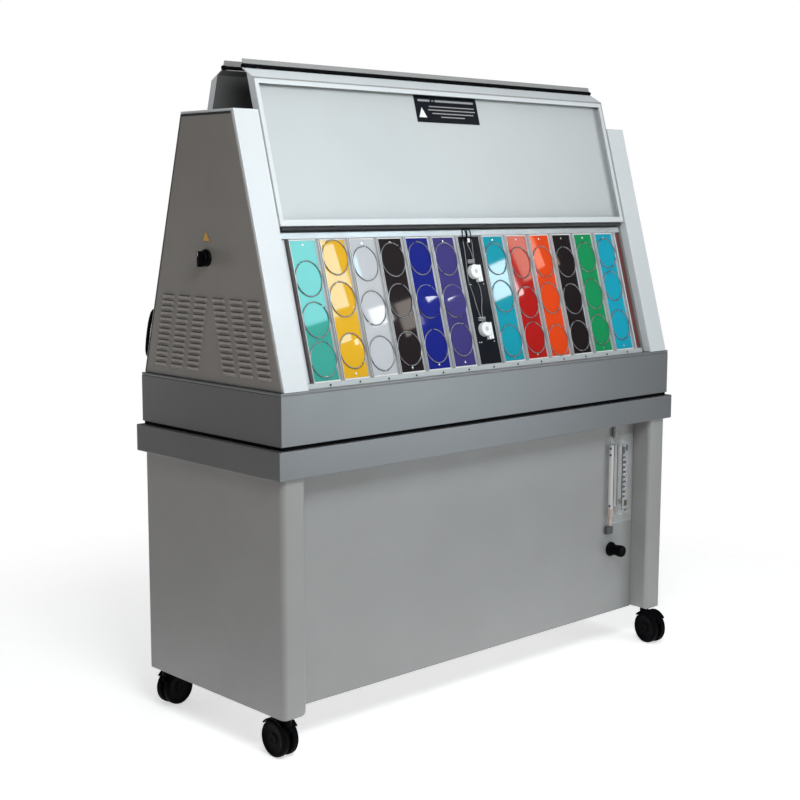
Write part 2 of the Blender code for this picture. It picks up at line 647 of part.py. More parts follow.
def main():
    for obj in list(bpy.data.objects):
        bpy.data.objects.remove(obj)
    make_materials()
    floor_pan()
    cabinet_rim()
    blower()
    base_band()
    rim_gasket()
    water_pan()
    top_cap()
    for end, side in (("left", -1), ("right", 1)):
        cabinet_side(f"{end}_cabinet_side", side)
        tower_shell(f"{end}_tower_shell", side)
        tower_side_cover(f"{end}_tower_side_cover", side)
        chamber_wall(f"{end}_chamber_wall", side)
    for face, side in (("front", -1), ("rear", 1)):
        cabinet_panel(f"{face}_cabinet_panel", side)
        upper_panel(f"{face}_upper_panel", side)
        rack_frame(f"{face}_rack_frame", side)
        lamp_bank(f"{face}_lamp_bank", side)
        door_hinge(f"{face}_door_hinge", side)
        door_pan(f"{face}_door_pan", side)
        door_seal(f"{face}_door_seal", side)
        door_handle(f"{face}_door_handle", side)
    for index in range(1, HOLDER_COUNT + 1):
        if index == SENSOR_SLOT:
            sensor_panel("sensor_panel")
        else:
            front_holder(f"front_holder_{index:02d}", index)
    rear_holder_bank()
    tower_conduit()
    for entry in CASTERS:
        caster(*entry)
    flowmeter_body()
    flowmeter_float()
    valve()
    isolator()


main()
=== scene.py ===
"""Looks of the ultraviolet weathering tester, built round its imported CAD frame.

Metres, +Z up, front towards -Y, in the same frame as the CAD. Sheet metal is the CAD's own shape with
rolled edges; louvres, specimens, wire rings, leads, labels, scales and wheels are built here.
"""

import json
from math import cos, hypot, pi, radians, sin, sqrt

import bmesh
import bpy
from mathutils import Matrix, Vector

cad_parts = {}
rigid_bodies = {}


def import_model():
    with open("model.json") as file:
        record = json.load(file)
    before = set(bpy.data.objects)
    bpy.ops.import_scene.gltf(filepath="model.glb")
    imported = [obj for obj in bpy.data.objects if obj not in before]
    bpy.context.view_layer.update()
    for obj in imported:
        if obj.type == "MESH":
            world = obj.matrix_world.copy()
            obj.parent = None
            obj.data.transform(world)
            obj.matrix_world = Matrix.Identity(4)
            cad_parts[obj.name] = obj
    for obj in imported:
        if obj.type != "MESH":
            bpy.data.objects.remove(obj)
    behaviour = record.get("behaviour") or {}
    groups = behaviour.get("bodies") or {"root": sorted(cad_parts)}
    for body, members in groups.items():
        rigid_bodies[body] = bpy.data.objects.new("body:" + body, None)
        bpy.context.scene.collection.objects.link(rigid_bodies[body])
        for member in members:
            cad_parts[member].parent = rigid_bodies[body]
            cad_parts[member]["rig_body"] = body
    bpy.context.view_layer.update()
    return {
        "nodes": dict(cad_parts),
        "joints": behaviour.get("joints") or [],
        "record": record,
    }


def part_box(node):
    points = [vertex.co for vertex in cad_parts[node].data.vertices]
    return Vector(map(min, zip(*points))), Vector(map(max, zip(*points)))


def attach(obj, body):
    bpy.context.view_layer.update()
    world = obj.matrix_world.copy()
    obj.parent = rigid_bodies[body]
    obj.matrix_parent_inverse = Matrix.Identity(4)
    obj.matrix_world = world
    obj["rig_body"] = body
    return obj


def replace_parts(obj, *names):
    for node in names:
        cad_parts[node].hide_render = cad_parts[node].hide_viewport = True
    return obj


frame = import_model()

# Places read from the frame.
BAND_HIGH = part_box("chamber_base_band")[1]
TOWER_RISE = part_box("left_tower_shell")[1].z - BAND_HIGH.z
TOWER_SETBACK = 0.166            # how far a sloping face leans in, from the band to the tower top
SLOPE_LENGTH = hypot(TOWER_SETBACK, TOWER_RISE)
LEAN_SIN, LEAN_COS = TOWER_SETBACK / SLOPE_LENGTH, TOWER_RISE / SLOPE_LENGTH
PANEL_FACE_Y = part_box("front_cabinet_panel")[0].y

# Specimen holders, in the slope's own lengths: u up the slope from the band, v outwards.
HOLDER_PITCH = 0.0868
HOLDER_COUNT = 13
HOLDER_MIDDLE = 0.177
SENSOR_SLOT = 7
WEB_V = -0.0265                  # outer face of a holder's web
RAIL_V = -0.022                 # outer face of the rack's rails
SIDE_V = -0.037                  # outer face of the rack's side strips
PANEL_THICK = 0.0008
PANEL_HALF_X = 0.0352
PANEL_U = (0.0205, 0.3335)
RING_HALF_X, RING_HALF_U = 0.0366, 0.0398
RING_HALF_GAP = 6.0              # degrees
WIRE = 0.0013
DOOR_LOW_U, DOOR_HIGH_U = 0.3615, 0.694
DOOR_HALF_X = 0.594
DOOR_FACE_V = -0.0185            # inner face of an open door

# Brightness of what the machine mirrors below and above the horizon, and the floor's own light.
FLOOR_GLOW, WALL_GLOW, FLOOR_LIGHT = 1.1, 0.1, 0.55
WHITE = (1.0, 1.0, 1.0)

FACES = (("front", -1), ("rear", 1))
ENDS = (("left", -1), ("right", 1))
SLOT_OF = {row["node"]: row["material_slot"] for row in frame["record"]["subparts"]}


# Placing functions.

def on_slope(side):
    """(x, u, v) on the front (-1) or the rear (1) sloping face."""
    def place(x, u, v):
        y = BAND_HIGH.y - u * LEAN_SIN + v * LEAN_COS
        return Vector((x, side * y, BAND_HIGH.z + u * LEAN_COS + v * LEAN_SIN))
    return place


def section_on(side):
    """(u, v, x) on a sloping face, for shapes that run across the machine."""
    place = on_slope(side)
    return lambda u, v, x: place(x, u, v)


def shifted(place, a0=0.0, b0=0.0, h0=0.0):
    """The same placing with its origin moved to (a0, b0, h0)."""
    return lambda a, b, h: place(a0 + a, b0 + b, h0 + h)


def middle(node):
    low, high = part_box(node)
    return (low + high) / 2


def slot_x(index):
    return (index - (HOLDER_COUNT + 1) / 2) * HOLDER_PITCH


def linked(obj):
    bpy.context.collection.objects.link(obj)
    return obj


# Finishes.

def noise(tree, vector, scale, detail=2.0, roughness=0.5):
    node = tree.nodes.new("ShaderNodeTexNoise")
    node.inputs["Scale"].default_value = scale
    node.inputs["Detail"].default_value = detail
    node.inputs["Roughness"].default_value = roughness
    tree.links.new(vector, node.inputs["Vector"])
    return node.outputs["Fac"]


def remap(tree, value, low, high, start=0.3, end=0.7, smooth=False):
    node = tree.nodes.new("ShaderNodeMapRange")
    if smooth:
        node.interpolation_type = "SMOOTHSTEP"
    for name, number in (("From Min", start), ("From Max", end), ("To Min", low), ("To Max", high)):
        node.inputs[name].default_value = number
    tree.links.new(value, node.inputs["Value"])
    return node.outputs["Result"]


def mixed_shader(tree, factor, first, second, output):
    blend = tree.nodes.new("ShaderNodeMixShader")
    for number, value in enumerate((factor, first, second)):
        tree.links.new(value, blend.inputs[number])
    tree.links.new(blend.outputs[0], output.inputs["Surface"])


GRAIN_DEPTH = 0.0002


def finish(name, color, roughness, metallic=0.0, mottle=0.05, cloud=5.0, grain=0.15, grain_scale=700.0,
           stretch=(1.0, 1.0, 1.0), spread=0.06, **sockets):
    """A procedural finish: clouded colour, uneven gloss and a fine grain that may run one way."""
    mat = bpy.data.materials.new(name)
    mat.use_nodes = True
    tree = mat.node_tree
    shader = tree.nodes["Principled BSDF"]
    shader.inputs["Metallic"].default_value = metallic
    for socket, value in sockets.items():
        shader.inputs[socket.replace("_", " ")].default_value = value
    coords = tree.nodes.new("ShaderNodeTexCoord").outputs["Object"]
    mapping = tree.nodes.new("ShaderNodeMapping")
    mapping.inputs["Scale"].default_value = stretch
    tree.links.new(coords, mapping.inputs["Vector"])

    mix = tree.nodes.new("ShaderNodeMix")
    mix.data_type = "RGBA"
    mix.inputs[6].default_value = (*(c * (1 - mottle) for c in color), 1.0)
    mix.inputs[7].default_value = (*(min(1.0, c * (1 + mottle)) for c in color), 1.0)
    tree.links.new(remap(tree, noise(tree, coords, cloud, 4.0, 0.6), 0.0, 1.0), mix.inputs[0])
    tree.links.new(mix.outputs[2], shader.inputs["Base Color"])

    wear = noise(tree, coords, cloud * 3.7, 5.0, 0.65)
    tree.links.new(remap(tree, wear, max(0.02, roughness - spread), roughness + spread),
                   shader.inputs["Roughness"])

    bump = tree.nodes.new("ShaderNodeBump")
    bump.inputs["Strength"].default_value = grain
    bump.inputs["Distance"].default_value = GRAIN_DEPTH
    tree.links.new(noise(tree, mapping.outputs["Vector"], grain_scale, 2.0), bump.inputs["Height"])
    tree.links.new(bump.outputs["Normal"], shader.inputs["Normal"])
    mat.diffuse_color = (*color, 1.0)
    return mat


def srgb(r, g, b):
    """A display colour out of 255 as linear light."""
    def linear(c):
        c /= 255
        return c / 12.92 if c <= 0.04045 else ((c + 0.055) / 1.055) ** 2.4
    return tuple(linear(c) for c in (r, g, b))


SPRAYED = {"cloud": 3.0, "grain_scale": 900.0}
PRINTED = {"cloud": 40.0, "grain": 0.1}
MOULDED = {"grain_scale": 1500.0}
DULL_BLACK = {"Specular_IOR_Level": 0.04}
JET = (0.0015, 0.0015, 0.0022)

FINISHES = {
    "paint": finish("grey_paint", (0.284, 0.281, 0.277), 0.42, 0.12, **SPRAYED),
    # A darker, warmer copy of the grey paint: painted shade, so that the towers' side covers and louvres read
    # as shaded.
    "cover_paint_painted_shade": finish("cover_paint_painted_shade", (0.212, 0.2, 0.186), 0.42, 0.2, **SPRAYED),
    # A darker, more metallic copy of the grey paint: its darker colour is painted shade, so that the band's
    # and the rim's side faces read dark.
    "band_paint_painted_shade": finish("band_paint_painted_shade", (0.185, 0.189, 0.194), 0.36, 0.7, mottle=0.02, spread=0.015,
                         **SPRAYED),
    # A lit copy of the grey paint: painted light, brighter so that the towers' sloping fronts, the doors'
    # insides and the pale rack strips read as lit from above.
    "bright_paint": finish("grey_paint_painted_light", (0.58, 0.605, 0.62), 0.45, 0.1, mottle=0.02, **SPRAYED),
    # A lit copy of the grey paint, a little darker than the towers' one: painted light on the doors' liners
    # and on the rack's lower trim.
    "door_liner": finish("door_liner", (0.47, 0.495, 0.5), 0.42, 0.15, mottle=0.03, cloud=2.0,
                         grain_scale=800.0),
    # A dark copy of the grey paint: painted shade on the doors' backs, which face each other in the shaded
    # gap between the open doors.
    "door_back_painted_shade": finish("door_back_painted_shade", (0.105, 0.105, 0.103), 0.45, 0.2, **SPRAYED),
    "rack_metal": finish("anodised_aluminium", (0.5, 0.51, 0.52), 0.36, 0.35, mottle=0.04, grain=0.3,
                         grain_scale=500.0, stretch=(1.0, 0.08, 0.08)),
    "rail_metal": finish("rail_aluminium", (0.5, 0.535, 0.56), 0.42, 0.75, mottle=0.03, grain=0.05,
                         grain_scale=300.0),
    "bare_metal": finish("mill_aluminium", (0.66, 0.67, 0.68), 0.28, 0.9, mottle=0.05, cloud=12.0, grain=0.35,
                         grain_scale=600.0, stretch=(1.0, 0.05, 0.05)),
    "steel": finish("brushed_steel", (0.55, 0.55, 0.56), 0.28, 1.0, mottle=0.04, grain=0.3,
                    stretch=(0.05, 1.0, 1.0)),
    "wire": finish("spring_steel_wire", (0.26, 0.26, 0.27), 0.3, 0.9, mottle=0.06, cloud=30.0, grain=0.1),
    "dark_metal": finish("black_zinc", (0.03, 0.031, 0.034), 0.42, 0.3, mottle=0.2, cloud=14.0, grain=0.3),
    "black_plastic": finish("black_moulding", JET, 0.5, mottle=0.15, cloud=20.0, grain=0.4, **MOULDED,
                            **DULL_BLACK),
    "black_rubber": finish("black_rubber", JET, 0.6, mottle=0.2, cloud=24.0, grain=0.5, grain_scale=1100.0,
                           **DULL_BLACK),
    "black_panel": finish("black_panel", (0.004, 0.005, 0.009), 0.4, mottle=0.15, cloud=8.0, grain=0.1,
                          Specular_IOR_Level=0.08, Coat_Weight=0.1, Coat_Roughness=0.1),
    "silicone": finish("red_silicone", (0.13, 0.022, 0.018), 0.5, mottle=0.15, cloud=18.0, grain=0.4),
    # The red silicone seal darkened and greyed: painted shade, for the seal beside the end holder that lies
    # in the tower's shade.
    "dark_seal": finish("dark_seal", (0.05, 0.04, 0.038), 0.55, mottle=0.15, cloud=18.0, grain=0.4),
    "inner_wall": finish("chamber_lining", (0.22, 0.215, 0.21), 0.5, 0.2, cloud=6.0),
    "lamp": finish("lamp_glass", (0.78, 0.79, 0.84), 0.14, mottle=0.02, cloud=9.0, grain=0.03,
                   Coat_Weight=0.8, Coat_Roughness=0.04),
    "clear_plastic": finish("clear_acrylic", (0.78, 0.79, 0.79), 0.08, mottle=0.01, grain=0.02, spread=0.02,
                            Alpha=0.12),
    "white_plastic": finish("white_moulding", (0.8, 0.81, 0.81), 0.3, mottle=0.03, cloud=25.0, **MOULDED),
    "lead": finish("grey_lead", (0.2, 0.2, 0.21), 0.45, mottle=0.1, cloud=30.0),
    "mark": finish("pale_marking", (0.75, 0.75, 0.73), 0.45, mottle=0.04, **PRINTED),
    "faint_mark": finish("faint_marking", (0.3, 0.3, 0.3), 0.45, mottle=0.04, **PRINTED),
    "dark_mark": finish("dark_marking", (0.04, 0.04, 0.045), 0.45, mottle=0.1, **PRINTED),
    "grey_block": finish("grey_block", (0.075, 0.08, 0.085), 0.4, 0.3, mottle=0.08, cloud=20.0),
    "tube_white": finish("tube_white", (0.5, 0.485, 0.475), 0.3, mottle=0.05, cloud=30.0, grain=0.1),
    "peach": finish("peach_moulding", (0.42, 0.34, 0.305), 0.4, mottle=0.08, **PRINTED),
    "olive": finish("olive_float", (0.085, 0.08, 0.05), 0.35, 0.3, mottle=0.1, cloud=60.0, grain=0.1),
    "yellow": finish("yellow_marking", (0.5, 0.27, 0.04), 0.4, mottle=0.08, cloud=60.0, grain=0.1),
}

# The test specimens' paints out of 255, in their places from the left. The seventh is the sensor panel's.
COATINGS = {
    1: (62, 172, 156), 2: (240, 184, 30), 3: (205, 208, 212), 4: (22, 6, 10), 5: (0, 24, 136),
    6: (64, 56, 128), 8: (0, 162, 183), 9: (190, 8, 0), 10: (243, 72, 0), 11: (16, 2, 6),
    12: (0, 153, 90), 13: (0, 170, 198),
}
COATING_TONE = 0.78              # how much darker a paint is than it looks under its lights


def coating(index, color):
    tone = [COATING_TONE * c for c in srgb(*color)]
    return finish(f"specimen_{index:02d}_gloss", tone, 0.45, mottle=0.03, cloud=9.0, grain=0.05,
                  grain_scale=260.0, spread=0.04, Specular_IOR_Level=0.1, Coat_Weight=1.0,
                  Coat_Roughness=0.035)


# Shapes.

class Shape:
    """Gathers closed pieces of mesh, each with a finish, and turns them into one object."""

    def __init__(self):
        self.verts, self.faces, self.marks, self.finishes = [], [], [], []

    def add(self, verts, faces, mark):
        if mark not in self.finishes:
            self.finishes.append(mark)
        start = len(self.verts)
        self.verts += [Vector(v) for v in verts]
        self.faces += [[start + i for i in face] for face in faces]
        self.marks += [self.finishes.index(mark)] * len(faces)

    def prism(self, outline, place, lo, hi, mark):
        count = len(outline)
        verts = [place(a, b, lo) for a, b in outline] + [place(a, b, hi) for a, b in outline]
        faces = [list(range(count)), list(range(count, 2 * count))]
        faces += [[i, (i + 1) % count, count + (i + 1) % count, count + i] for i in range(count)]
        self.add(verts, faces, mark)

    def block(self, a_range, b_range, c_range, place, mark):
        (a0, a1), (b0, b1) = a_range, b_range
        self.prism([(a0, b0), (a1, b0), (a1, b1), (a0, b1)], place, *c_range, mark)

    def plate(self, a_range, b_range, radius, c_range, place, mark):
        """A plate with round corners."""
        (a0, a1), (b0, b1) = a_range, b_range
        corners = ((a1 - radius, b1 - radius, 0), (a0 + radius, b1 - radius, 90),
                   (a0 + radius, b0 + radius, 180), (a1 - radius, b0 + radius, 270))
        outline = [p for ca, cb, start in corners for p in arc(ca, cb, radius, start, start + 90, 4)]
        self.prism(outline, place, *c_range, mark)

    def turned(self, profile, place, sides, mark):
        rings, verts, faces = [], [], []
        for radius, height in profile:
            if radius == 0:
                rings.append([len(verts)] * sides)
                verts.append(place(0, 0, height))
                continue
            rings.append(list(range(len(verts), len(verts) + sides)))
            for k in range(sides):
                angle = 2 * pi * (k + 0.5) / sides
                verts.append(place(radius * cos(angle), radius * sin(angle), height))
        for low, high in zip(rings, rings[1:]):
            for k in range(sides):
                n = (k + 1) % sides
                faces.append(list(dict.fromkeys((low[k], low[n], high[n], high[k]))))
        self.add(verts, faces, mark)

    def rod(self, radius, start, end, place, sides, mark):
        self.turned([(0, start), (radius, start), (radius, end), (0, end)], place, sides, mark)

    def tube(self, points, radius, sides, mark, closed=False):
        """A round wire along points, with flat ends unless it closes on itself."""
        points = [Vector(p) for p in points]
        count = len(points)
        verts, faces = [], []
        normal = None
        for i, point in enumerate(points):
            before = points[i - 1] if closed or i else point
            after = points[(i + 1) % count] if closed or i + 1 < count else point
            along = (after - before).normalized()
            if normal is None:
                normal = along.orthogonal().normalized()
            normal = (normal - along * normal.dot(along)).normalized()
            across = along.cross(normal)
            for k in range(sides):
                angle = 2 * pi * k / sides
                verts.append(point + radius * (normal * cos(angle) + across * sin(angle)))
        for i in range(count if closed else count - 1):
            low, high = sides * i, sides * ((i + 1) % count)
            for k in range(sides):
                n = (k + 1) % sides
                faces.append([low + k, low + n, high + n, high + k])
        if not closed:
            faces += [list(range(sides)), list(range(sides * (count - 1), sides * count))]
        self.add(verts, faces, mark)

    def gathered(self):
        """All the pieces as one bmesh, with normals that point outwards."""
        bm = bmesh.new()
        points = [bm.verts.new(v) for v in self.verts]
        for face, mark in zip(self.faces, self.marks):
            bm.faces.new([points[i] for i in face]).material_index = mark
        bmesh.ops.recalc_face_normals(bm, faces=bm.faces)
        return bm

    def build(self, name, body, slot, edge=0.0, **rolling):
        finishes = [FINISHES[mark] for mark in self.finishes]
        return shown(name, self.gathered(), finishes, body, slot, edge, **rolling)


def arc(cx, cy, radius, start, end, steps):
    """Points on an arc, by angles in degrees."""
    angles = (radians(start + (end - start) * i / steps) for i in range(steps + 1))
    return [(cx + radius * cos(a), cy + radius * sin(a)) for a in angles]


def object_of(name, bm):
    mesh = bpy.data.meshes.new(name)
    bm.to_mesh(mesh)
    bm.free()
    return linked(bpy.data.objects.new(name, mesh))


def shown(name, bm, materials, body, slot, edge=0.0, angle=35.0, segments=2):
    """Makes an object of a bmesh, with rolled edges if asked for, riding on a body."""
    obj = object_of(name, bm)
    mesh = obj.data
    for material in materials:
        mesh.materials.append(material)
    mesh.shade_smooth()
    if edge:
        bevel = obj.modifiers.new("rolled_edges", "BEVEL")
        bevel.width = edge
        bevel.segments = segments
        bevel.limit_method = "ANGLE"
        bevel.angle_limit = radians(angle)
        bevel.use_clamp_overlap = True
        weighted = obj.modifiers.new("even_shading", "WEIGHTED_NORMAL")
        weighted.weight = 60
        weighted.keep_sharp = True
    else:
        mesh.set_sharp_from_angle(angle=radians(angle))
    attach(obj, body)
    return obj


def cad_copy(node):
    """A bmesh of a CAD node with its flat faces whole again."""
    bm = bmesh.new()
    bm.from_mesh(frame["nodes"][node].data)
    bmesh.ops.remove_doubles(bm, verts=bm.verts, dist=2e-6)
    bmesh.ops.dissolve_limit(bm, angle_limit=radians(0.6), verts=bm.verts, edges=bm.edges)
    for face in bm.faces:
        face.material_index = 0
    return bm


def refined(node, mark=None, edge=0.0008, angle=30.0, segments=2):
    """The CAD node's own shape with rolled edges, shown in its place."""
    finish_name = mark or SLOT_OF[node]
    obj = shown(f"{node}_shell", cad_copy(node), [FINISHES[finish_name]], frame["nodes"][node]["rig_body"],
                SLOT_OF[node], edge, angle, segments)
    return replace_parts(obj, node)


def carve(obj, cutter):
    """Cuts a Shape's pieces out of an object at once."""
    tool = object_of("cutter", cutter.gathered())
    modifier = obj.modifiers.new("slots", "BOOLEAN")
    modifier.operation, modifier.object, modifier.solver = "DIFFERENCE", tool, "EXACT"
    others = [m for m in obj.modifiers if m != modifier]
    for other in others:
        other.show_viewport = False
    evaluated = obj.evaluated_get(bpy.context.evaluated_depsgraph_get())
    carved = bpy.data.meshes.new_from_object(evaluated)
    obj.modifiers.remove(modifier)
    obj.data = carved
    for other in others:
        other.show_viewport = True
    bpy.data.objects.remove(tool)


# Cabinet.

def cabinet():
    for end, _ in ENDS:
        refined(f"{end}_cabinet_side", "paint", 0.001)
    for face, _ in FACES:
        refined(f"{face}_cabinet_panel", "paint", 0.0008)
    refined("cabinet_rim", "band_paint_painted_shade", 0.0016, segments=3)
    refined("floor_pan", "paint", 0.0008)
    refined("blower", "dark_metal", 0.002)
    rim_hem()
    rear_fixings()


def rim_hem():
    """The folded hem along the rim's lower edge."""
    low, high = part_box("cabinet_rim")
    shape = Shape()
    radius, inset = 0.0009, 0.0012
    x, y, z = high.x - inset, high.y - inset, low.z - radius * 0.2
    corners = [Vector(p) for p in ((-x, -y, z), (x, -y, z), (x, y, z), (-x, y, z))]
    path = []
    for start, end in zip(corners, corners[1:] + corners[:1]):
        path += [start.lerp(end, t) for t in (0.0008, 0.5, 0.9992)]
    shape.tube(path, radius, 8, "band_paint_painted_shade", closed=True)
    shape.build("cabinet_rim_hem", "cabinet", "paint", angle=60.0)


def screw(shape, place, radius, mark, height):
    """A pan-head screw: a domed head with a cross recess."""
    head = [(radius, 0.0), (radius, height * 0.45), (radius * 0.8, height * 0.85), (radius * 0.42, height),
            (radius * 0.3, height * 0.55), (0, height * 0.5)]
    shape.turned([(0, 0.0)] + head, place, 14, mark)


def rear_fixings():
    """Screws round the rear panel, and the nut and seal of the mains gland."""
    low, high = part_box("rear_cabinet_panel")
    on_panel = lambda x, z, h: Vector((x, h - PANEL_FACE_Y, z))
    shape = Shape()
    for z in (low.z + 0.03, (low.z + high.z) / 2, high.z - 0.03):
        for x in (low.x + 0.025, 0.0, high.x - 0.025):
            screw(shape, shifted(on_panel, x, z), 0.0048, "bare_metal", 0.0024)
    shape.build("rear_panel_screws", "cabinet", "steel")
    gland = Shape()
    place = shifted(on_panel, -0.45, 0.2)
    gland.prism(arc(0, 0, 0.0165, 0, 300, 5), place, 0.0003, 0.006, "black_plastic")
    gland.turned([(0, 0.006), (0.0135, 0.006), (0.0135, 0.014), (0.0115, 0.0175), (0.0112, 0.02),
                  (0.0095, 0.0245), (0.0055, 0.025), (0.005, 0.02), (0, 0.02)], place, 24,
                 "black_plastic")
    gland.build("mains_gland_nut", "cabinet", "black_plastic", 0.0005)


# Chamber.

LOUVRE_LENGTH, LOUVRE_HEIGHT, LOUVRE_RISE = 0.048, 0.0088, 0.004
LOUVRE_ROWS, LOUVRE_ROW_PITCH = 13, 0.0132
LOUVRE_COLUMNS, LOUVRE_COLUMN_PITCH = 3, 0.063
LOUVRE_TOP = 0.9985


def louvre_places():
    """(y, z) of each louvre's middle, in two blocks that lean with the tower's slopes."""
    for direction, inner in ((1, 0.028), (-1, 0.036)):
        for row in range(LOUVRE_ROWS):
            z = LOUVRE_TOP - row * LOUVRE_ROW_PITCH
            lean = 0.235 * row * LOUVRE_ROW_PITCH
            for column in range(LOUVRE_COLUMNS):
                yield direction * (inner + column * LOUVRE_COLUMN_PITCH + lean), z


def louvre_hood(shape, place, mark):
    """A pressed hood that rises from its lower edge and is open along its top."""
    steps, rises, wall, end_slope = 14, 6, 0.0007, 0.007
    reach = LOUVRE_LENGTH / 2
    outer, inner = [], []
    for j in range(rises + 1):
        t = j / rises
        for i in range(steps + 1):
            s = -1 + 2 * i / steps
            end = min(1.0, (1 - abs(s)) * reach / end_slope)
            lift = LOUVRE_RISE * sin(pi / 2 * t) ** 0.9 * sqrt(1 - (1 - end) ** 2)
            a = s * reach
            b = (t - 0.5) * LOUVRE_HEIGHT
            outer.append(place(a, b, lift - 0.0002))
            inner.append(place(a * 0.97, b + wall * 0.6 * (1 - t), max(-0.0012, lift - wall - 0.0006)))
    width = steps + 1
    size = len(outer)
    faces = []
    for j in range(rises):
        for i in range(steps):
            k = j * width + i
            faces.append([k, k + 1, k + 1 + width, k + width])
            faces.append([size + k, size + k + width, size + k + 1 + width, size + k + 1])
    rim = [j * width for j in range(rises, 0, -1)] + list(range(width)) + \
        [(j + 1) * width - 1 for j in range(1, rises + 1)] + list(range(size - 2, size - width, -1))
    for start, end in zip(rim, rim[1:] + rim[:1]):
        faces.append([start, end, size + end, size + start])
    shape.add(outer + inner, faces, mark)


def tower_cover(end, side):
    """The tower's outer cover, with slots cut behind its rows of pressed louvres."""
    node = f"{end}_tower_side_cover"
    cover = refined(node, "cover_paint_painted_shade", 0.0005)
    low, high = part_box(node)
    face = high.x if side > 0 else low.x
    on_cover = lambda y, z, h: Vector((face + side * h, y, z))
    half, depth = LOUVRE_LENGTH / 2 - 0.004, high.x - low.x
    slots, hoods = Shape(), Shape()
    for y, z in louvre_places():
        place = shifted(on_cover, y, z)
        slots.block((-half, half), (0.0, LOUVRE_HEIGHT / 2 + 0.0006), (-depth - 0.001, 0.001), place, "paint")
        louvre_hood(hoods, place, "cover_paint_painted_shade")
    carve(cover, slots)
    cover_painted_shadow_line(end, low, high, on_cover)
    hoods.build(f"{end}_tower_louvres", "cabinet", "paint", angle=50.0)


def cover_painted_shadow_line(end, low, high, on_cover):
    """A dark strip along the top and the rear edge of a tower's cover: a painted shadow line where the cover
    meets the shell's edge.
    """
    setback = (high.z - low.z) * LEAN_SIN / LEAN_COS
    rear, top = high.y - setback, high.z
    front, drop, spread, width = low.y + setback, 0.005, 0.0012, 0.0026
    strip = Shape()
    for outline in ([(rear, top), (front, top), (front - spread, top - drop), (rear + spread, top - drop)],
                    [(high.y, low.z), (rear, top), (rear - width, top), (high.y - width, low.z)]):
        strip.prism(outline, on_cover, 0.0, 0.0006, "dark_metal")
    strip.build(f"{end}_tower_cover_border", "cabinet", "dark_metal")


def towers():
    for end, side in ENDS:
        refined(f"{end}_tower_shell", "bright_paint", 0.001)
        tower_cover(end, side)
        refined(f"{end}_chamber_wall", "inner_wall", 0.0006)
        painted_louvre_shade(end, side)
    isolator()
    conduit()


def painted_louvre_shade(end, side):
    """Three dark plates inside the tower, seen only through the louvres: painted shade, so that the louvres'
    slots read dark.
    """
    shape = Shape()
    along_x = lambda y, z, x: Vector((x, y, z))
    xs = sorted((side * 0.601, side * 0.612))
    for index in range(3):
        y = -0.12 + 0.12 * index
        shape.plate((y - 0.035, y + 0.035), (0.85, 1.01), 0.006, xs, along_x, "dark_metal")
    shape.build(f"{end}_tower_louvre_painted_shade", "cabinet", "dark_metal", 0.001)


def isolator():
    """The mains isolator with its rotary handle, and the plain yellow triangle above it."""
    centre = middle("isolator_base")
    centre.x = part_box("isolator_base")[1].x
    place = lambda a, b, h: centre + Vector((-h, a, b))
    base = Shape()
    base.turned([(0, 0), (0.019, 0), (0.019, 0.0045), (0.018, 0.0062), (0.016, 0.007), (0.0145, 0.0066),
                 (0, 0.0066)], place, 40, "black_plastic")
    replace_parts(base.build("isolator_bezel", "cabinet", "black_plastic", angle=40.0), "isolator_base")
    knob = Shape()
    knob.turned([(0, 0.007), (0.0142, 0.007), (0.0142, 0.0105), (0.013, 0.0124), (0, 0.0128)], place, 40,
                "black_plastic")
    grip = [(-0.0044, -0.015)] + arc(0, -0.015, 0.0044, 180, 360, 6) + [(0.0044, 0.01)]
    grip += arc(0, 0.0115, 0.004, 20, 160, 6)
    knob.prism(grip, place, 0.01, 0.0232, "black_plastic")
    knob.block((-0.0006, 0.0006), (0.004, 0.0135), (0.0226, 0.0235), place, "mark")
    obj = knob.build("isolator_handle", "isolator_knob_body", "black_plastic", 0.0012, segments=3)
    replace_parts(obj, "isolator_knob")
    sign = Shape()
    sign.prism(arc(0, 0, 0.0135, 90, 330, 2), shifted(place, 0.0, 0.044), 0.0, 0.0009, "yellow")
    sign.build("isolator_sign", "cabinet", None, 0.0002)


def conduit():
    """The black cable loop behind the left tower, with a small gland at each end."""
    place, radius = shifted(on_slope(1), middle("tower_conduit").x), 0.0044
    route = [(0.15, 0.0004), (0.15, 0.006), (0.147, 0.016), (0.137, 0.023), (0.118, 0.0265),
             (0.095, 0.0275), (0.07, 0.0265), (0.046, 0.023), (0.036, 0.016), (0.033, 0.006),
             (0.033, 0.0004)]
    shape = Shape()
    shape.tube(smooth_path([place(0, u, v) for u, v in route], 4), radius, 14, "black_rubber")
    for u, _ in (route[0], route[-1]):
        at = shifted(place, 0, u)
        shape.prism(arc(0, 0, 0.0085, 0, 300, 5), at, 0.0003, 0.004, "black_plastic")
        shape.turned([(radius, 0.004), (0.007, 0.004), (0.0068, 0.008), (0.005, 0.0105), (radius, 0.0105)],
                     at, 20, "black_plastic")
    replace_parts(shape.build("tower_cable_loop", "cabinet", "black_rubber", angle=50.0), "tower_conduit")


def smooth_path(points, steps):
    """A Catmull-Rom curve through points."""
    padded = [2 * points[0] - points[1]] + points + [2 * points[-1] - points[-2]]
    path = []
    for p0, p1, p2, p3 in zip(padded, padded[1:], padded[2:], padded[3:]):
        for i in range(steps):
            t = i / steps
            path.append(0.5 * (2 * p1 + (p2 - p0) * t + (2 * p0 - 5 * p1 + 4 * p2 - p3) * t * t
                               + (3 * p1 - p0 - 3 * p2 + p3) * t ** 3))
    return path + [points[-1]]


def chamber():
    refined("chamber_base_band", "band_paint_painted_shade", 0.0012, segments=3)
    refined("rim_gasket", "black_rubber", 0.0015)
    refined("water_pan", "steel", 0.0008)
    refined("chamber_top_cap", "paint", 0.0008)
    for face, side in FACES:
        refined(f"{face}_upper_panel", "paint", 0.0008)
        lamp_bank(face, side)


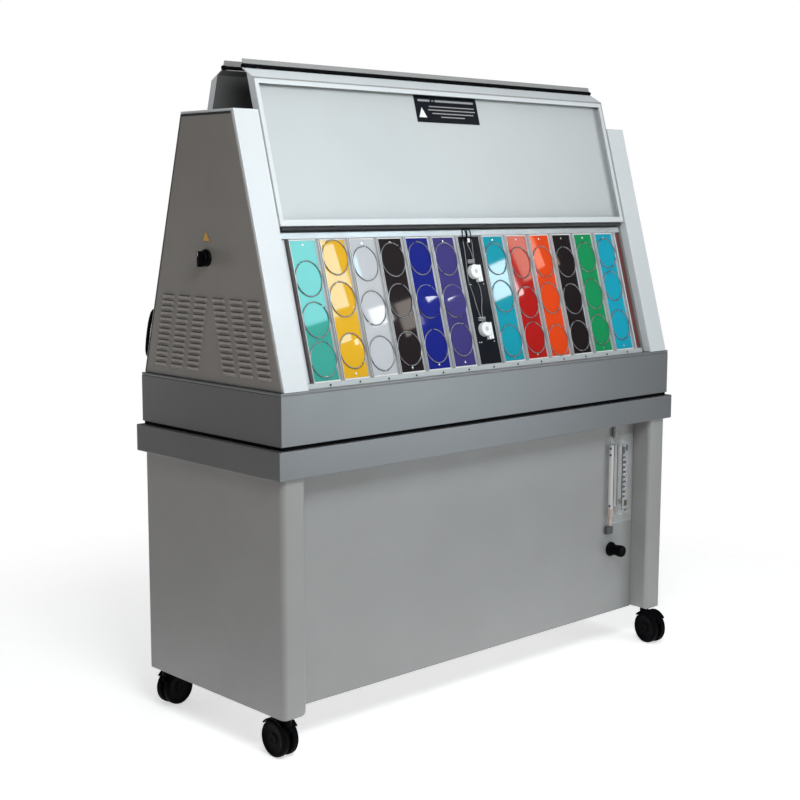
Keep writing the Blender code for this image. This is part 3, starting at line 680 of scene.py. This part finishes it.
def lamp_bank(face, side):
    """Four white tubes with metal end caps in sockets on two bars."""
    section = section_on(side)
    end_x, lamp_v = 0.59, -0.1
    reach = end_x - 0.0096
    collar_end, cap_end, glass_end = reach - 0.02, reach - 0.038, reach - 0.0375
    shape = Shape()
    for end in (-1, 1):
        xs = sorted((end * (end_x - 0.0095), end * end_x))
        shape.block((0.022, 0.318), (lamp_v - 0.01, lamp_v + 0.01), xs, section, "white_plastic")
    for number in range(4):
        at = shifted(section, 0.05 + 0.08 * number, lamp_v)
        for end in (-1, 1):
            shape.rod(0.0175, end * reach, end * collar_end, at, 24, "white_plastic")
            shape.rod(0.0188, end * collar_end, end * cap_end, at, 24, "bare_metal")
        shape.rod(0.0183, -glass_end, glass_end, at, 24, "lamp")
    obj = shape.build(f"{face}_lamps", "cabinet", "lamp", 0.0006)
    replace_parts(obj, f"{face}_lamp_bank")


# Racks and specimens.

# The strips beside the end holders: piece, slot, edge, segments, then each one's x range, top and finish.
# The dark strip is the seal darkened as painted shade, and the pale strips use a lit copy of the paint,
# painted light.
RACK_STRIPS = (
    ("seal", "silicone", 0.0012, 3, ((-0.5782, -0.5896, -0.0262, "silicone"),)),
    ("side_strip", "rack_metal", 0.0006, 2, ((-0.564, -0.577, -0.0275, "bright_paint"),)),
    ("edge_strip", "silicone", 0.0006, 2, ((0.5636, 0.569, -0.0205, "dark_seal"),
                                           (0.5692, 0.589, -0.0265, "bright_paint"))),
)


def rack(face, side):
    """The rack frame, with screws in its rails, trim on them and the strips beside the end holders."""
    refined(f"{face}_rack_frame", "rack_metal", 0.0006)
    place, section = on_slope(side), section_on(side)
    screws = Shape()
    for index in range(1, HOLDER_COUNT + 1):
        at = shifted(place, slot_x(index) + 0.004, 0.01, RAIL_V + 0.0007)
        screw(screws, at, 0.0026, "dark_metal", 0.0014)
    for u in (0.055, HOLDER_MIDDLE, 0.3):
        screw(screws, shifted(place, side * -0.5715, u, SIDE_V), 0.0028, "bare_metal", 0.0016)
    screws.build(f"{face}_rack_screws", "cabinet", "steel")
    for name, us, mark in (("upper", (0.3374, 0.3506), "rail_metal"),
                           ("lower", (0.0034, 0.0166), "door_liner")):
        trim = Shape()
        trim.block(us, (RAIL_V + 0.0001, RAIL_V + 0.0007), (-0.5885, 0.5885), section, mark)
        trim.build(f"{face}_rack_{name}_trim", "cabinet", "rack_metal", 0.0002)
    for name, slot, edge, segments, strips in RACK_STRIPS:
        shape = Shape()
        for x0, x1, top_v, mark in strips:
            xs = sorted((side * x0, side * x1))
            shape.block((0.0185, 0.3355), (SIDE_V + 0.0002, top_v), xs, section, mark)
        shape.build(f"{face}_rack_{name}", "cabinet", slot, edge, segments=segments)


# Where each holder's three rings are, up the slope, and which way each ring's gap faces in degrees.
RING_PLACES = {
    1: (0.248, 0.156, 0.067), 2: (0.294, 0.198, 0.081), 3: (0.277, 0.174, 0.069), 4: (0.284, 0.187, 0.074),
    5: (0.285, 0.181, 0.074), 6: (0.281, 0.178, 0.084), 8: (0.277, 0.182, 0.07), 9: (0.265, 0.163, 0.072),
    10: (0.265, 0.17, 0.06), 11: (0.262, 0.164, 0.066), 12: (0.272, 0.173, 0.077),
    13: (0.281, 0.191, 0.085),
}
RING_GAPS = (62, 104, 255, 80, 300, 118, 235, 95, 48, 275, 130, 70)
REAR_RING_PLACES = (0.282, 0.178, 0.074)

# How far a panel bulges inside each of its rings, and its tilts along x and u there, by (holder, ring). They
# settle which of the rings mirror the cards. A ring that isn't listed is USUAL.
USUAL, FLAT = (0.0003, 0.0, -0.004), (0.0, 0.0, 0.0)
LIT_DISCS = {
    (1, 1): FLAT, (1, 2): (0.0001, 0.0, -0.012), (2, 0): (0.0005, 0.0, 0.0), (2, 1): (0.0003, 0.0, 0.0),
    (2, 2): (0.0008, 0.0, 0.004), (3, 1): FLAT, (4, 1): FLAT, (5, 1): (0.0003, -0.006, 0.079),
    (6, 1): (0.0003, -0.014, 0.081), (8, 0): FLAT, (8, 1): FLAT, (9, 0): FLAT,
}


def snap_ring(shape, place, gap_angle):
    """An open wire ring whose two ends turn outwards."""
    def at(angle, reach=1.0, lift=0.0):
        turn = radians(angle)
        return place(reach * RING_HALF_X * cos(turn), reach * RING_HALF_U * sin(turn), lift)

    first, last, steps = gap_angle + RING_HALF_GAP, gap_angle - RING_HALF_GAP, 56
    wire = [at(first + (360 - 2 * RING_HALF_GAP) * i / steps) for i in range(steps + 1)]
    shape.tube([at(first, 1.04, 0.0022)] + wire + [at(last, 1.04, 0.0022)], WIRE, 8, "wire")


def bowed_disc(shape, place, bow, tilt_x, tilt_u, mark):
    """The part of a specimen inside a ring: slightly bowed and tilted, so that it mirrors its own patch."""
    sides, rings = 48, 6
    half_x, half_u = RING_HALF_X - 0.0004, RING_HALF_U - 0.0004
    circle = [(half_x * cos(2 * pi * k / sides), half_u * sin(2 * pi * k / sides)) for k in range(sides)]
    verts, faces = [], []
    for j in range(rings + 1):
        r = j / rings
        lift = bow * (1 - r ** 2)
        for a, b in circle if j else circle[:1]:
            verts.append(place(r * a, r * b, lift + r * (tilt_x * a + tilt_u * b)))
    back = [place(a, b, -0.0006) for a, b in circle]
    rim, start = 1 + (rings - 1) * sides, len(verts)
    for k in range(sides):
        n = (k + 1) % sides
        faces.append([0, 1 + k, 1 + n])
        for j in range(1, rings):
            low, high = 1 + (j - 1) * sides, 1 + j * sides
            faces.append([low + k, high + k, high + n, low + n])
        faces.append([rim + k, start + k, start + n, rim + n])
    faces.append(list(range(start, start + sides)))
    shape.add(verts + back, faces, mark)


def specimen(name, side, index, rings, mark, body, slot, shapes):
    """A coated panel in its holder: the plate, its end holes, three wire rings and two end tabs."""
    place = shifted(on_slope(side), slot_x(index))
    back, face = WEB_V + 0.0002, WEB_V + 0.0002 + PANEL_THICK
    plate, wires, tabs = Shape(), Shape(), Shape()
    plate.plate((-PANEL_HALF_X, PANEL_HALF_X), PANEL_U, 0.0015, (back, face), place, mark)
    for number, u in enumerate(rings):
        bow, tilt_x, tilt_u = shapes.get((index, number), USUAL)
        stand = 0.0003 + hypot(RING_HALF_X * tilt_x, RING_HALF_U * tilt_u)
        bowed_disc(plate, shifted(place, 0, u, face + stand), bow, -tilt_x, -tilt_u, mark)
        gap_angle = RING_GAPS[(index * 5 + number * 3) % len(RING_GAPS)]
        snap_ring(wires, shifted(place, 0, u, face + 0.0004 + WIRE), gap_angle)
    for u in (PANEL_U[0] + 0.0085, PANEL_U[1] - 0.0085):
        plate.turned([(0, -0.0003), (0.0026, -0.0003), (0.0026, 0.0003), (0.0018, 0.0004), (0.0015, 0.0001),
                      (0, 0.0001)], shifted(place, 0, u, face), 16, "bare_metal")
    for us in ((0.0175, 0.0201), (0.3339, 0.3365)):
        tabs.block((-0.0386, 0.0386), us, (WEB_V + 0.0001, WEB_V + 0.0014), place, "mark")
    plate.build(f"{name}_panel", body, slot, angle=25.0)
    wires.build(f"{name}_rings", body, "steel", angle=60.0)
    tabs.build(f"{name}_tabs", body, "rack_metal", 0.0003)


def front_specimens():
    for index, color in COATINGS.items():
        mark = f"coating_{index:02d}"
        FINISHES[mark] = coating(index, color)
        name, body = f"front_holder_{index:02d}", f"holder_{index:02d}"
        refined(name, "rack_metal", 0.0004)
        specimen(name, -1, index, RING_PLACES[index], mark, body, "specimen_coating", LIT_DISCS)


def rear_specimens():
    """The rear places hold blank panels of bare aluminium."""
    refined("rear_holder_bank", "rack_metal", 0.0004)
    for index in range(1, HOLDER_COUNT + 1):
        name = f"rear_holder_{index:02d}"
        specimen(name, 1, index, REAR_RING_PLACES, "bare_metal", "cabinet", "rack_metal", {})


# The sensor leads' routes on their panel, and the feet of the loops that cross the rack's upper rail.
LEAD_ROUTES = (
    [(-0.006, 0.334), (-0.005, 0.315), (0.002, 0.296), (0.004, 0.28), (0.002, 0.264)],
    [(0.01, 0.334), (0.011, 0.318), (0.009, 0.3), (0.008, 0.282), (0.005, 0.266)],
    [(-0.02, 0.334), (-0.019, 0.3), (-0.023, 0.262), (-0.026, 0.225), (-0.018, 0.19),
     (-0.014, 0.16), (-0.008, 0.135), (-0.004, 0.12)],
    [(0.004, 0.226), (0.01, 0.205), (0.009, 0.18), (0.002, 0.155), (-0.001, 0.13), (0.0000, 0.118)],
)
LOOP_FEET = ((-0.021, -0.007), (-0.005, 0.009))
LEAD_RADIUS = 0.0011


def sensor_panel():
    """The black panel with its two sensors and their leads."""
    refined("sensor_panel", "rack_metal", 0.0004)
    place = shifted(on_slope(-1), slot_x(SENSOR_SLOT))
    body = "sensor_panel_body"
    back, face = WEB_V + 0.0002, WEB_V + 0.001
    panel, heads, fittings = Shape(), Shape(), Shape()
    panel.plate((-0.0385, 0.0385), (0.019, 0.335), 0.0015, (back, face), place, "black_panel")
    for u in (0.246, 0.103):
        sensor(heads, fittings, shifted(place, 0, u), face)
    fittings.plate((-0.004, 0.004), (0.32, 0.33), 0.0015, (face, face + 0.0035), place, "white_plastic")
    panel.build("sensor_panel_skin", body, "black_plastic", 0.0003)
    heads.build("sensor_heads", body, "white_plastic", 0.0004)
    fittings.build("sensor_fittings", body, "rack_metal", 0.0003)
    sensor_leads(place, face).build("sensor_leads", body, "black_rubber", angle=60.0)


def sensor(heads, fittings, place, face):
    """A round head with its bracket, a clip of three bars above it and three pins below."""
    top = -0.0127
    at = shifted(place, -0.004)
    heads.turned([(0, face), (0.0174, face), (0.0174, top - 0.0015), (0.016, top), (0.006, top),
                  (0.0052, top - 0.0006), (0, top - 0.0006)], at, 40, "white_plastic")
    for xs in ((0.0065, 0.013), (0.015, 0.0215)):
        heads.plate(xs, (-0.025, 0.016), 0.001, (face, top - 0.003), at, "white_plastic")
    # A dark stripe on the first bar: painted shade of a slit.
    heads.plate((0.0105, 0.0125), (-0.0225, 0.015), 0.0005, (face, top - 0.0034), at, "dark_mark")
    for row in range(3):
        low, lift = 0.0225 + 0.0035 * row, 0.0012 + 0.0006 * row
        fittings.plate((-0.011, 0.013), (low, low + 0.0016), 0.0005, (face, face + lift), at, "rack_metal")
    for x in (-0.026, -0.019, 0.026):
        screw(fittings, shifted(place, x, -0.03, face), 0.0016, "bare_metal", 0.0009)


def sensor_leads(place, face):
    leads = Shape()
    lying, bent, over_rail = face + 0.0013, face + 0.003, RAIL_V + 0.0019
    for route in LEAD_ROUTES:
        leads.tube(smooth_path([place(x, u, lying) for x, u in route], 6), LEAD_RADIUS, 8, "lead")
    for left, right in LOOP_FEET:
        route = ((left, 0.322, lying), (left, 0.332, bent), (left + 0.001, 0.34, over_rail),
                 (left + 0.003, 0.35, over_rail), (right - 0.003, 0.35, over_rail),
                 (right - 0.0005, 0.34, over_rail), (right, 0.332, bent), (right, 0.322, lying))
        leads.tube(smooth_path([place(*point) for point in route], 6), LEAD_RADIUS, 8, "black_rubber")
    return leads


def racks():
    for face, side in FACES:
        rack(face, side)
    front_specimens()
    rear_specimens()
    sensor_panel()


# Doors.

def door(face, side):
    """A door: its pan with rolled edges, a liner in a lit copy of the paint (painted light), darker strips
    along its folds (painted shade), the edge seal with round plugs, the pull strip.
    """
    body = f"{face}_door"
    section = section_on(side)
    # The hinge is dark metal, and its dark strip is also painted shade for the gap under the door.
    refined(f"{face}_door_hinge", "dark_metal", 0.0003)
    door_pan(f"{face}_door_pan", body, section)
    refined(f"{face}_door_handle", "paint", 0.001)
    liner = Shape()
    edge, half_x = 0.004, DOOR_HALF_X - 0.003
    liner.plate((DOOR_LOW_U + edge, DOOR_HIGH_U - edge), (-half_x, half_x), 0.004,
                (DOOR_FACE_V + 0.0001, DOOR_FACE_V + 0.0008), lambda u, x, v: section(u, v, x), "door_liner")
    liner.build(f"{face}_door_liner", body, "paint", 0.0003)
    # Strips of the darker grey paint along the pan's folds: painted shade in the folds.
    fold_painted_shade = Shape()
    inner_u, inner_x = DOOR_HIGH_U - 0.0035, DOOR_HALF_X - 0.0028
    for low_u, xs in ((inner_u, (-DOOR_HALF_X, DOOR_HALF_X)), (DOOR_LOW_U, (-DOOR_HALF_X, -inner_x)),
                      (DOOR_LOW_U, (inner_x, DOOR_HALF_X))):
        fold_painted_shade.block((low_u, DOOR_HIGH_U), (-0.0019, -0.0015), xs, section, "paint")
    fold_painted_shade.build(f"{face}_door_creases", body, "paint")
    seal = Shape()
    centre_u, centre_v, radius, reach = 0.7288, -0.0325, 0.0044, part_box(f"{face}_door_seal")[1].x
    at = shifted(section, centre_u, centre_v)
    seal.prism(arc(0, 0, radius, 0, 337.5, 15), at, -reach + 0.01, reach - 0.01, "black_rubber")
    for end in (-1, 1):
        plug = [(0, 0), (0.0052, 0), (0.0052, 0.0085), (0.004, 0.0105), (0, 0.011)]
        seal.turned([(r, end * (reach - 0.011 + h)) for r, h in plug], at, 20, "black_plastic")
    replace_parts(seal.build(f"{face}_door_edge_seal", body, "black_rubber", 0.0004), f"{face}_door_seal")


def door_pan(node, body, section):
    """The door's pan: painted light on its inside, painted shade on its back, and painted shade in dark metal
    where it folds round the hinge, for the shaded gap under the door.
    """
    pan = cad_copy(node)
    origin = section(0, 0, 0)
    backward, upward = section(0, -1, 0) - origin, section(1, 0, 0) - origin
    hinge_line = section(DOOR_LOW_U - 0.0002, 0, 0)
    for face in pan.faces:
        if (face.calc_center_median() - hinge_line).dot(upward) < 0:
            face.material_index = 2
        elif face.normal.dot(backward) > 0.5:
            face.material_index = 1
    finishes = [FINISHES[mark] for mark in ("bright_paint", "door_back_painted_shade", "dark_metal")]
    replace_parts(shown(f"{node}_shell", pan, finishes, body, "paint", 0.0009), node)


def door_label():
    """A plain black plate with a pale triangle and pale bars."""
    x0, x1, u0, u1 = -0.103, 0.112, 0.617, 0.684
    local = shifted(on_slope(-1), x0, u0, DOOR_FACE_V + 0.0008)
    shape = Shape()
    shape.plate((0.0, x1 - x0), (0.0, u1 - u0), 0.0015, (0.0, 0.0008), local, "black_panel")
    low, high = 0.0004, 0.0011
    shape.prism([(0.008, 0.012), (0.034, 0.012), (0.021, 0.037)], local, low, high, "mark")
    title, line = 0.005, 0.0025
    bars = ((0.012, 0.052, 0.052, title), (0.058, 0.065, 0.0532, line), (0.07, 0.203, 0.052, title),
            (0.046, 0.203, 0.039, line), (0.042, 0.205, 0.0305, line), (0.054, 0.197, 0.022, line),
            (0.082, 0.165, 0.0135, line))
    for a0, a1, b0, height in bars:
        shape.plate((a0, a1), (b0, b0 + height), 0.0008, (low, high), local, "faint_mark")
    shape.build("front_door_label", "front_door", None, 0.0001)


def doors():
    for face, side in FACES:
        door(face, side)
    door_label()


# Controls on the front panel.

METER_BACK, METER_FRONT = 0.0041, 0.024         # faces of the meter's plate and its block
METER_SPAN = (0.395, 0.564)
SIDE_TUBE_X, SIDE_TUBE_OUT = 0.494, 0.011

# Blocks on the meter's front: x range, z range and finish.
METER_BLOCKS = (
    ((0.5385, 0.548), (0.548, 0.564), "grey_block"),
    ((0.528, 0.536), (0.542, 0.56), "grey_block"),
    ((0.524, 0.529), (0.386, 0.391), "grey_block"),
    ((0.538, 0.546), (0.382, 0.388), "grey_block"),
    ((0.536, 0.5485), (0.396, 0.412), "olive"),
)


def flow_meter():
    """A clear meter with a bored block, a pale side tube, a scale, fittings and the grey block below."""
    refined("flowmeter_body", "clear_plastic", 0.0006)
    materials = frame["nodes"]["flowmeter_float"].data.materials
    materials.clear()
    materials.append(FINISHES["olive"])
    plate_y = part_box("flowmeter_body")[1].y
    proud = lambda x, z, h: Vector((x, plate_y - h, z))
    upright = lambda x, h, z: Vector((x, plate_y - h, z))
    side_tube = shifted(upright, SIDE_TUBE_X, SIDE_TUBE_OUT)
    float_tube = shifted(upright, middle("flowmeter_float").x, 0.013)

    tubes = Shape()
    tubes.plate((0.502, 0.529), (0.393, 0.564), 0.001, (METER_BACK, METER_BACK + 0.0005), proud,
                "tube_white")
    tubes.rod(0.0067, 0.3925, 0.566, side_tube, 20, "tube_white")
    foot = [(0, 0.37), (0.0078, 0.37), (0.0078, 0.388), (0.007, 0.3924), (0, 0.3924)]
    tubes.turned(foot, side_tube, 20, "peach")
    tubes.rod(0.0048, 0.345, 0.3699, side_tube, 16, "peach")
    tubes.build("flowmeter_tubes", "cabinet", None, angle=40.0)
    meter_scale(proud)

    fittings = Shape()
    for place, z0, z1, radius in ((float_tube, 0.566, 0.58, 0.0075), (float_tube, 0.37, 0.379, 0.0075),
                                  (side_tube, 0.579, 0.585, 0.005)):
        fittings.turned([(0, z0), (radius, z0), (radius, z1 - 0.002), (radius * 0.7, z1), (0, z1)], place, 20,
                        "clear_plastic")
    fittings.rod(0.006, 0.585, 0.695, shifted(upright, 0.512, 0.0075), 20, "paint")
    fittings.build("flowmeter_fittings", "cabinet", "rack_metal", angle=40.0)
    lower = Shape()
    lower.plate((0.483, 0.5085), (0.3215, 0.3425), 0.002, (0.0, 0.011), proud, "grey_block")
    lower.build("flowmeter_base_block", "cabinet", "dark_metal", 0.001, segments=3)


def meter_scale(proud):
    """Plain lines and ticks on the meter, blocks at its ends and screw heads on its side tube."""
    marks = Shape()
    on_front = (METER_FRONT, METER_FRONT + 0.0003)
    on_back = (METER_BACK + 0.0006, METER_BACK + 0.0009)
    for xs, hs in (((0.5268, 0.53), on_back), ((0.5232, 0.5276), on_front), ((0.5115, 0.515), on_back)):
        marks.block(xs, METER_SPAN, hs, proud, "dark_mark")
    first, pitch, thick, start, short, long = 0.42, 0.0135, 0.0054, 0.529, 0.0085, 0.012
    for number in range(9):
        z = first + pitch * number
        end = start + (long if number % 2 else short)
        marks.block((start, end), (z, z + thick), on_front, proud, "dark_mark")
    for xs, zs, mark in METER_BLOCKS:
        marks.plate(xs, zs, 0.0008, on_front, proud, mark)
    for z in (0.558, 0.5405, 0.4007):
        spot = lambda a, b, h, z=z: proud(SIDE_TUBE_X - 0.006 - h, z + b, SIDE_TUBE_OUT + 0.002 + a)
        marks.turned([(0, 0), (0.0036, 0), (0.0034, 0.001), (0, 0.0012)], spot, 16, "dark_mark")
    marks.build("flowmeter_scale", "cabinet", None)


def valve():
    """The air valve: a flared bezel and a waisted, fluted knob."""
    centre = middle("valve_bezel")
    centre.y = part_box("valve_bezel")[1].y
    at = lambda a, b, h: centre + Vector((a, -h, b))
    bezel = Shape()
    bezel.turned([(0, 0), (0.0195, 0), (0.0195, 0.0035), (0.0188, 0.0052), (0.0165, 0.0085), (0.013, 0.0102),
                  (0.008, 0.0108), (0, 0.0108)], at, 48, "black_plastic")
    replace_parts(bezel.build("valve_collar", "cabinet", "black_plastic", angle=40.0), "valve_bezel")
    knob = Shape()
    knob.turned([(0, 0.012), (0.0146, 0.012), (0.0142, 0.022), (0.0146, 0.025), (0.0154, 0.027),
                 (0.0154, 0.0405), (0.0145, 0.0426), (0.0125, 0.0438), (0.0115, 0.0432), (0, 0.043)], at, 48,
                "black_plastic")
    for x, z in arc(0, 0, 0.0152, 0, 342, 19):
        knob.tube([at(x, z, h) for h in (0.0275, 0.034, 0.04)], 0.0006, 6, "black_plastic")
    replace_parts(knob.build("valve_grip", "valve_knob_body", "black_plastic", angle=40.0), "valve_knob")


# Casters.

def caster(corner):
    """A twin-wheel caster: hood, and two wheels with dished hubs on one axle."""
    refined(f"{corner}_caster_hood", "black_plastic", 0.0009, angle=35.0, segments=3)
    spin = next(j for j in frame["joints"] if j["name"] == f"{corner}_wheel_spin")
    hub, axle = Vector(spin["pos_m"]), Vector(spin["axis"]).normalized()
    forward = axle.cross(Vector((0, 0, 1)))
    at = lambda a, b, h: hub + forward * a + axle * h + Vector((0, 0, b))
    radius = hub.z
    inner, outer = 0.0054, 0.0214
    shape = Shape()
    for end in (-1, 1):
        tyre = [(radius - 0.008, inner), (radius - 0.0022, inner), (radius - 0.0006, inner + 0.0012),
                (radius, inner + 0.003), (radius, outer - 0.005), (radius - 0.0008, outer - 0.0024),
                (radius - 0.0026, outer - 0.0006), (radius - 0.006, outer), (radius - 0.008, outer)]
        shape.turned([(r, end * h) for r, h in tyre], at, 56, "black_rubber")
        disc = [(0.0045, inner), (radius - 0.0078, inner), (radius - 0.0078, outer - 0.001),
                (radius - 0.0096, outer - 0.0004), (radius - 0.0112, outer - 0.0016),
                (0.0165, outer - 0.003), (0.012, outer - 0.0026), (0.0112, outer - 0.001),
                (0.01, outer - 0.0006), (0.0085, outer - 0.0012), (0, outer - 0.0012)]
        shape.turned([(r, end * h) for r, h in disc], at, 56, "black_plastic")
    shape.rod(0.004, -inner - 0.001, inner + 0.001, at, 20, "steel")
    obj = shape.build(f"{corner}_twin_wheels", f"{corner}_wheels", "black_rubber", angle=32.0)
    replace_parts(obj, f"{corner}_caster_wheels")


# The studio.

def floor():
    """A pale floor that fades into the white surroundings."""
    bm = bmesh.new()
    bmesh.ops.create_grid(bm, x_segments=8, y_segments=8, size=4.0)
    obj = object_of("studio_floor", bm)
    mat = finish("studio_floor", (0.92, 0.92, 0.92), 0.7, mottle=0.01, cloud=0.5, grain=0.02,
                 Emission_Color=(*WHITE, 1.0), Emission_Strength=FLOOR_LIGHT)
    tree = mat.node_tree
    distance = tree.nodes.new("ShaderNodeVectorMath")
    distance.operation = "LENGTH"
    tree.links.new(tree.nodes.new("ShaderNodeTexCoord").outputs["Object"], distance.inputs[0])
    fade = remap(tree, distance.outputs["Value"], 0.0, 1.0, 0.9, 2.0, smooth=True)
    clear = tree.nodes.new("ShaderNodeBsdfTransparent").outputs[0]
    mixed_shader(tree, fade, tree.nodes["Principled BSDF"].outputs[0], clear, tree.nodes["Material Output"])
    obj.data.materials.append(mat)


def softbox(name, location, target, size, brightness, color):
    data = bpy.data.lights.new(name, "AREA")
    data.shape = "RECTANGLE"
    data.size, data.size_y = size
    data.energy = pi * size[0] * size[1] * brightness
    data.color = color
    obj = linked(bpy.data.objects.new(name, data))
    obj.location = location
    obj.rotation_mode = "QUATERNION"
    obj.rotation_quaternion = (Vector(location) - Vector(target)).to_track_quat("Z", "Y")
    obj.visible_camera = False


# Small lights that the glossy specimens mirror: name, place, size, brightness and tint.
MIRRORED_CARDS = (
    ("pale_card", (1.12, -1.93, 1.95), (0.3, 0.36), 8.0, (0.45, 0.83, 1.0)),
    ("tower_card", (0.8, -2.06, 2.02), (0.26, 0.34), 22.0, WHITE),
    ("white_card", (1.39, -1.905, 1.755), (0.09, 0.075), 9.0, WHITE),
    ("warm_card", (1.51, -1.87, 1.735), (0.09, 0.12), 3.5, (1.0, 0.9, 0.8)),
    ("window", (1.92, -1.79, 2.31), (0.36, 0.28), 14.0, WHITE),
    ("slot_window", (1.99, -1.757, 1.811), (0.115, 0.15), 11.0, WHITE),
    ("dim_card", (2.135, -1.69, 1.92), (0.11, 0.26), 4.5, (1.0, 0.72, 0.55)),
)


def surroundings():
    """White to the camera. To everything else, a bright floor line under dim studio walls."""
    world = bpy.data.worlds.new("studio")
    bpy.context.scene.world = world
    world.use_nodes = True
    tree = world.node_tree
    walls = tree.nodes["Background"]
    walls.inputs["Color"].default_value = (1.0, 0.965, 0.93, 1.0)
    split = tree.nodes.new("ShaderNodeSeparateXYZ")
    tree.links.new(tree.nodes.new("ShaderNodeTexCoord").outputs["Generated"], split.inputs["Vector"])
    glow = remap(tree, split.outputs["Z"], FLOOR_GLOW, WALL_GLOW, -0.4, -0.18, smooth=True)
    tree.links.new(glow, walls.inputs["Strength"])
    white = tree.nodes.new("ShaderNodeBackground")
    white.inputs["Color"].default_value = (*WHITE, 1.0)
    seen = tree.nodes.new("ShaderNodeLightPath").outputs["Is Camera Ray"]
    mixed_shader(tree, seen, walls.outputs[0], white.outputs[0], tree.nodes["World Output"])


def studio():
    surroundings()
    cool = (0.94, 0.98, 1.0)
    softbox("key", (-1.1, -1.6, 2.1), (-0.3, -0.1, 1.0), (1.0, 0.8), 12.5, cool)
    softbox("top", (0.0, -0.2, 3.8), (0.0, 0.0, 1.0), (3.0, 2.4), 1.7, cool)
    softbox("front_card", (2.2, -3.3, 0.5), (-0.1, -0.2, 0.6), (1.8, 1.0), 4.2, (0.84, 0.95, 1.0))
    softbox("louvre_card", (-1.3, 2.7, 0.75), (-0.66, 0.1, 0.9), (0.5, 0.8), 4.0, WHITE)
    rack_middle = on_slope(-1)(0.0, HOLDER_MIDDLE, WEB_V)
    for name, place, size, brightness, tint in MIRRORED_CARDS:
        softbox(name, place, rack_middle, size, brightness, tint)
    floor()
    view = bpy.context.scene.view_settings
    view.view_transform, view.look = "Standard", "None"


def camera():
    """The camera at the height and distance that the machine's edges call for."""
    place, yaw, pitch, roll = (-2.5332, -2.6043, 1.2162), radians(43.248), radians(-7.887), radians(0.144)
    forward = Vector((sin(yaw) * cos(pitch), cos(yaw) * cos(pitch), sin(pitch)))
    data = bpy.data.cameras.new("camera")
    data.lens = 64.6
    data.sensor_width = 36.0
    obj = linked(bpy.data.objects.new("camera", data))
    turn = forward.to_track_quat("-Z", "Y").to_matrix().to_4x4() @ Matrix.Rotation(roll, 4, "Z")
    obj.matrix_world = Matrix.Translation(place) @ turn
    bpy.context.scene.camera = obj


camera()
studio()
cabinet()
chamber()
towers()
racks()
doors()
flow_meter()
valve()
for corner_name in ("front_left", "front_right", "rear_left", "rear_right"):
    caster(corner_name)
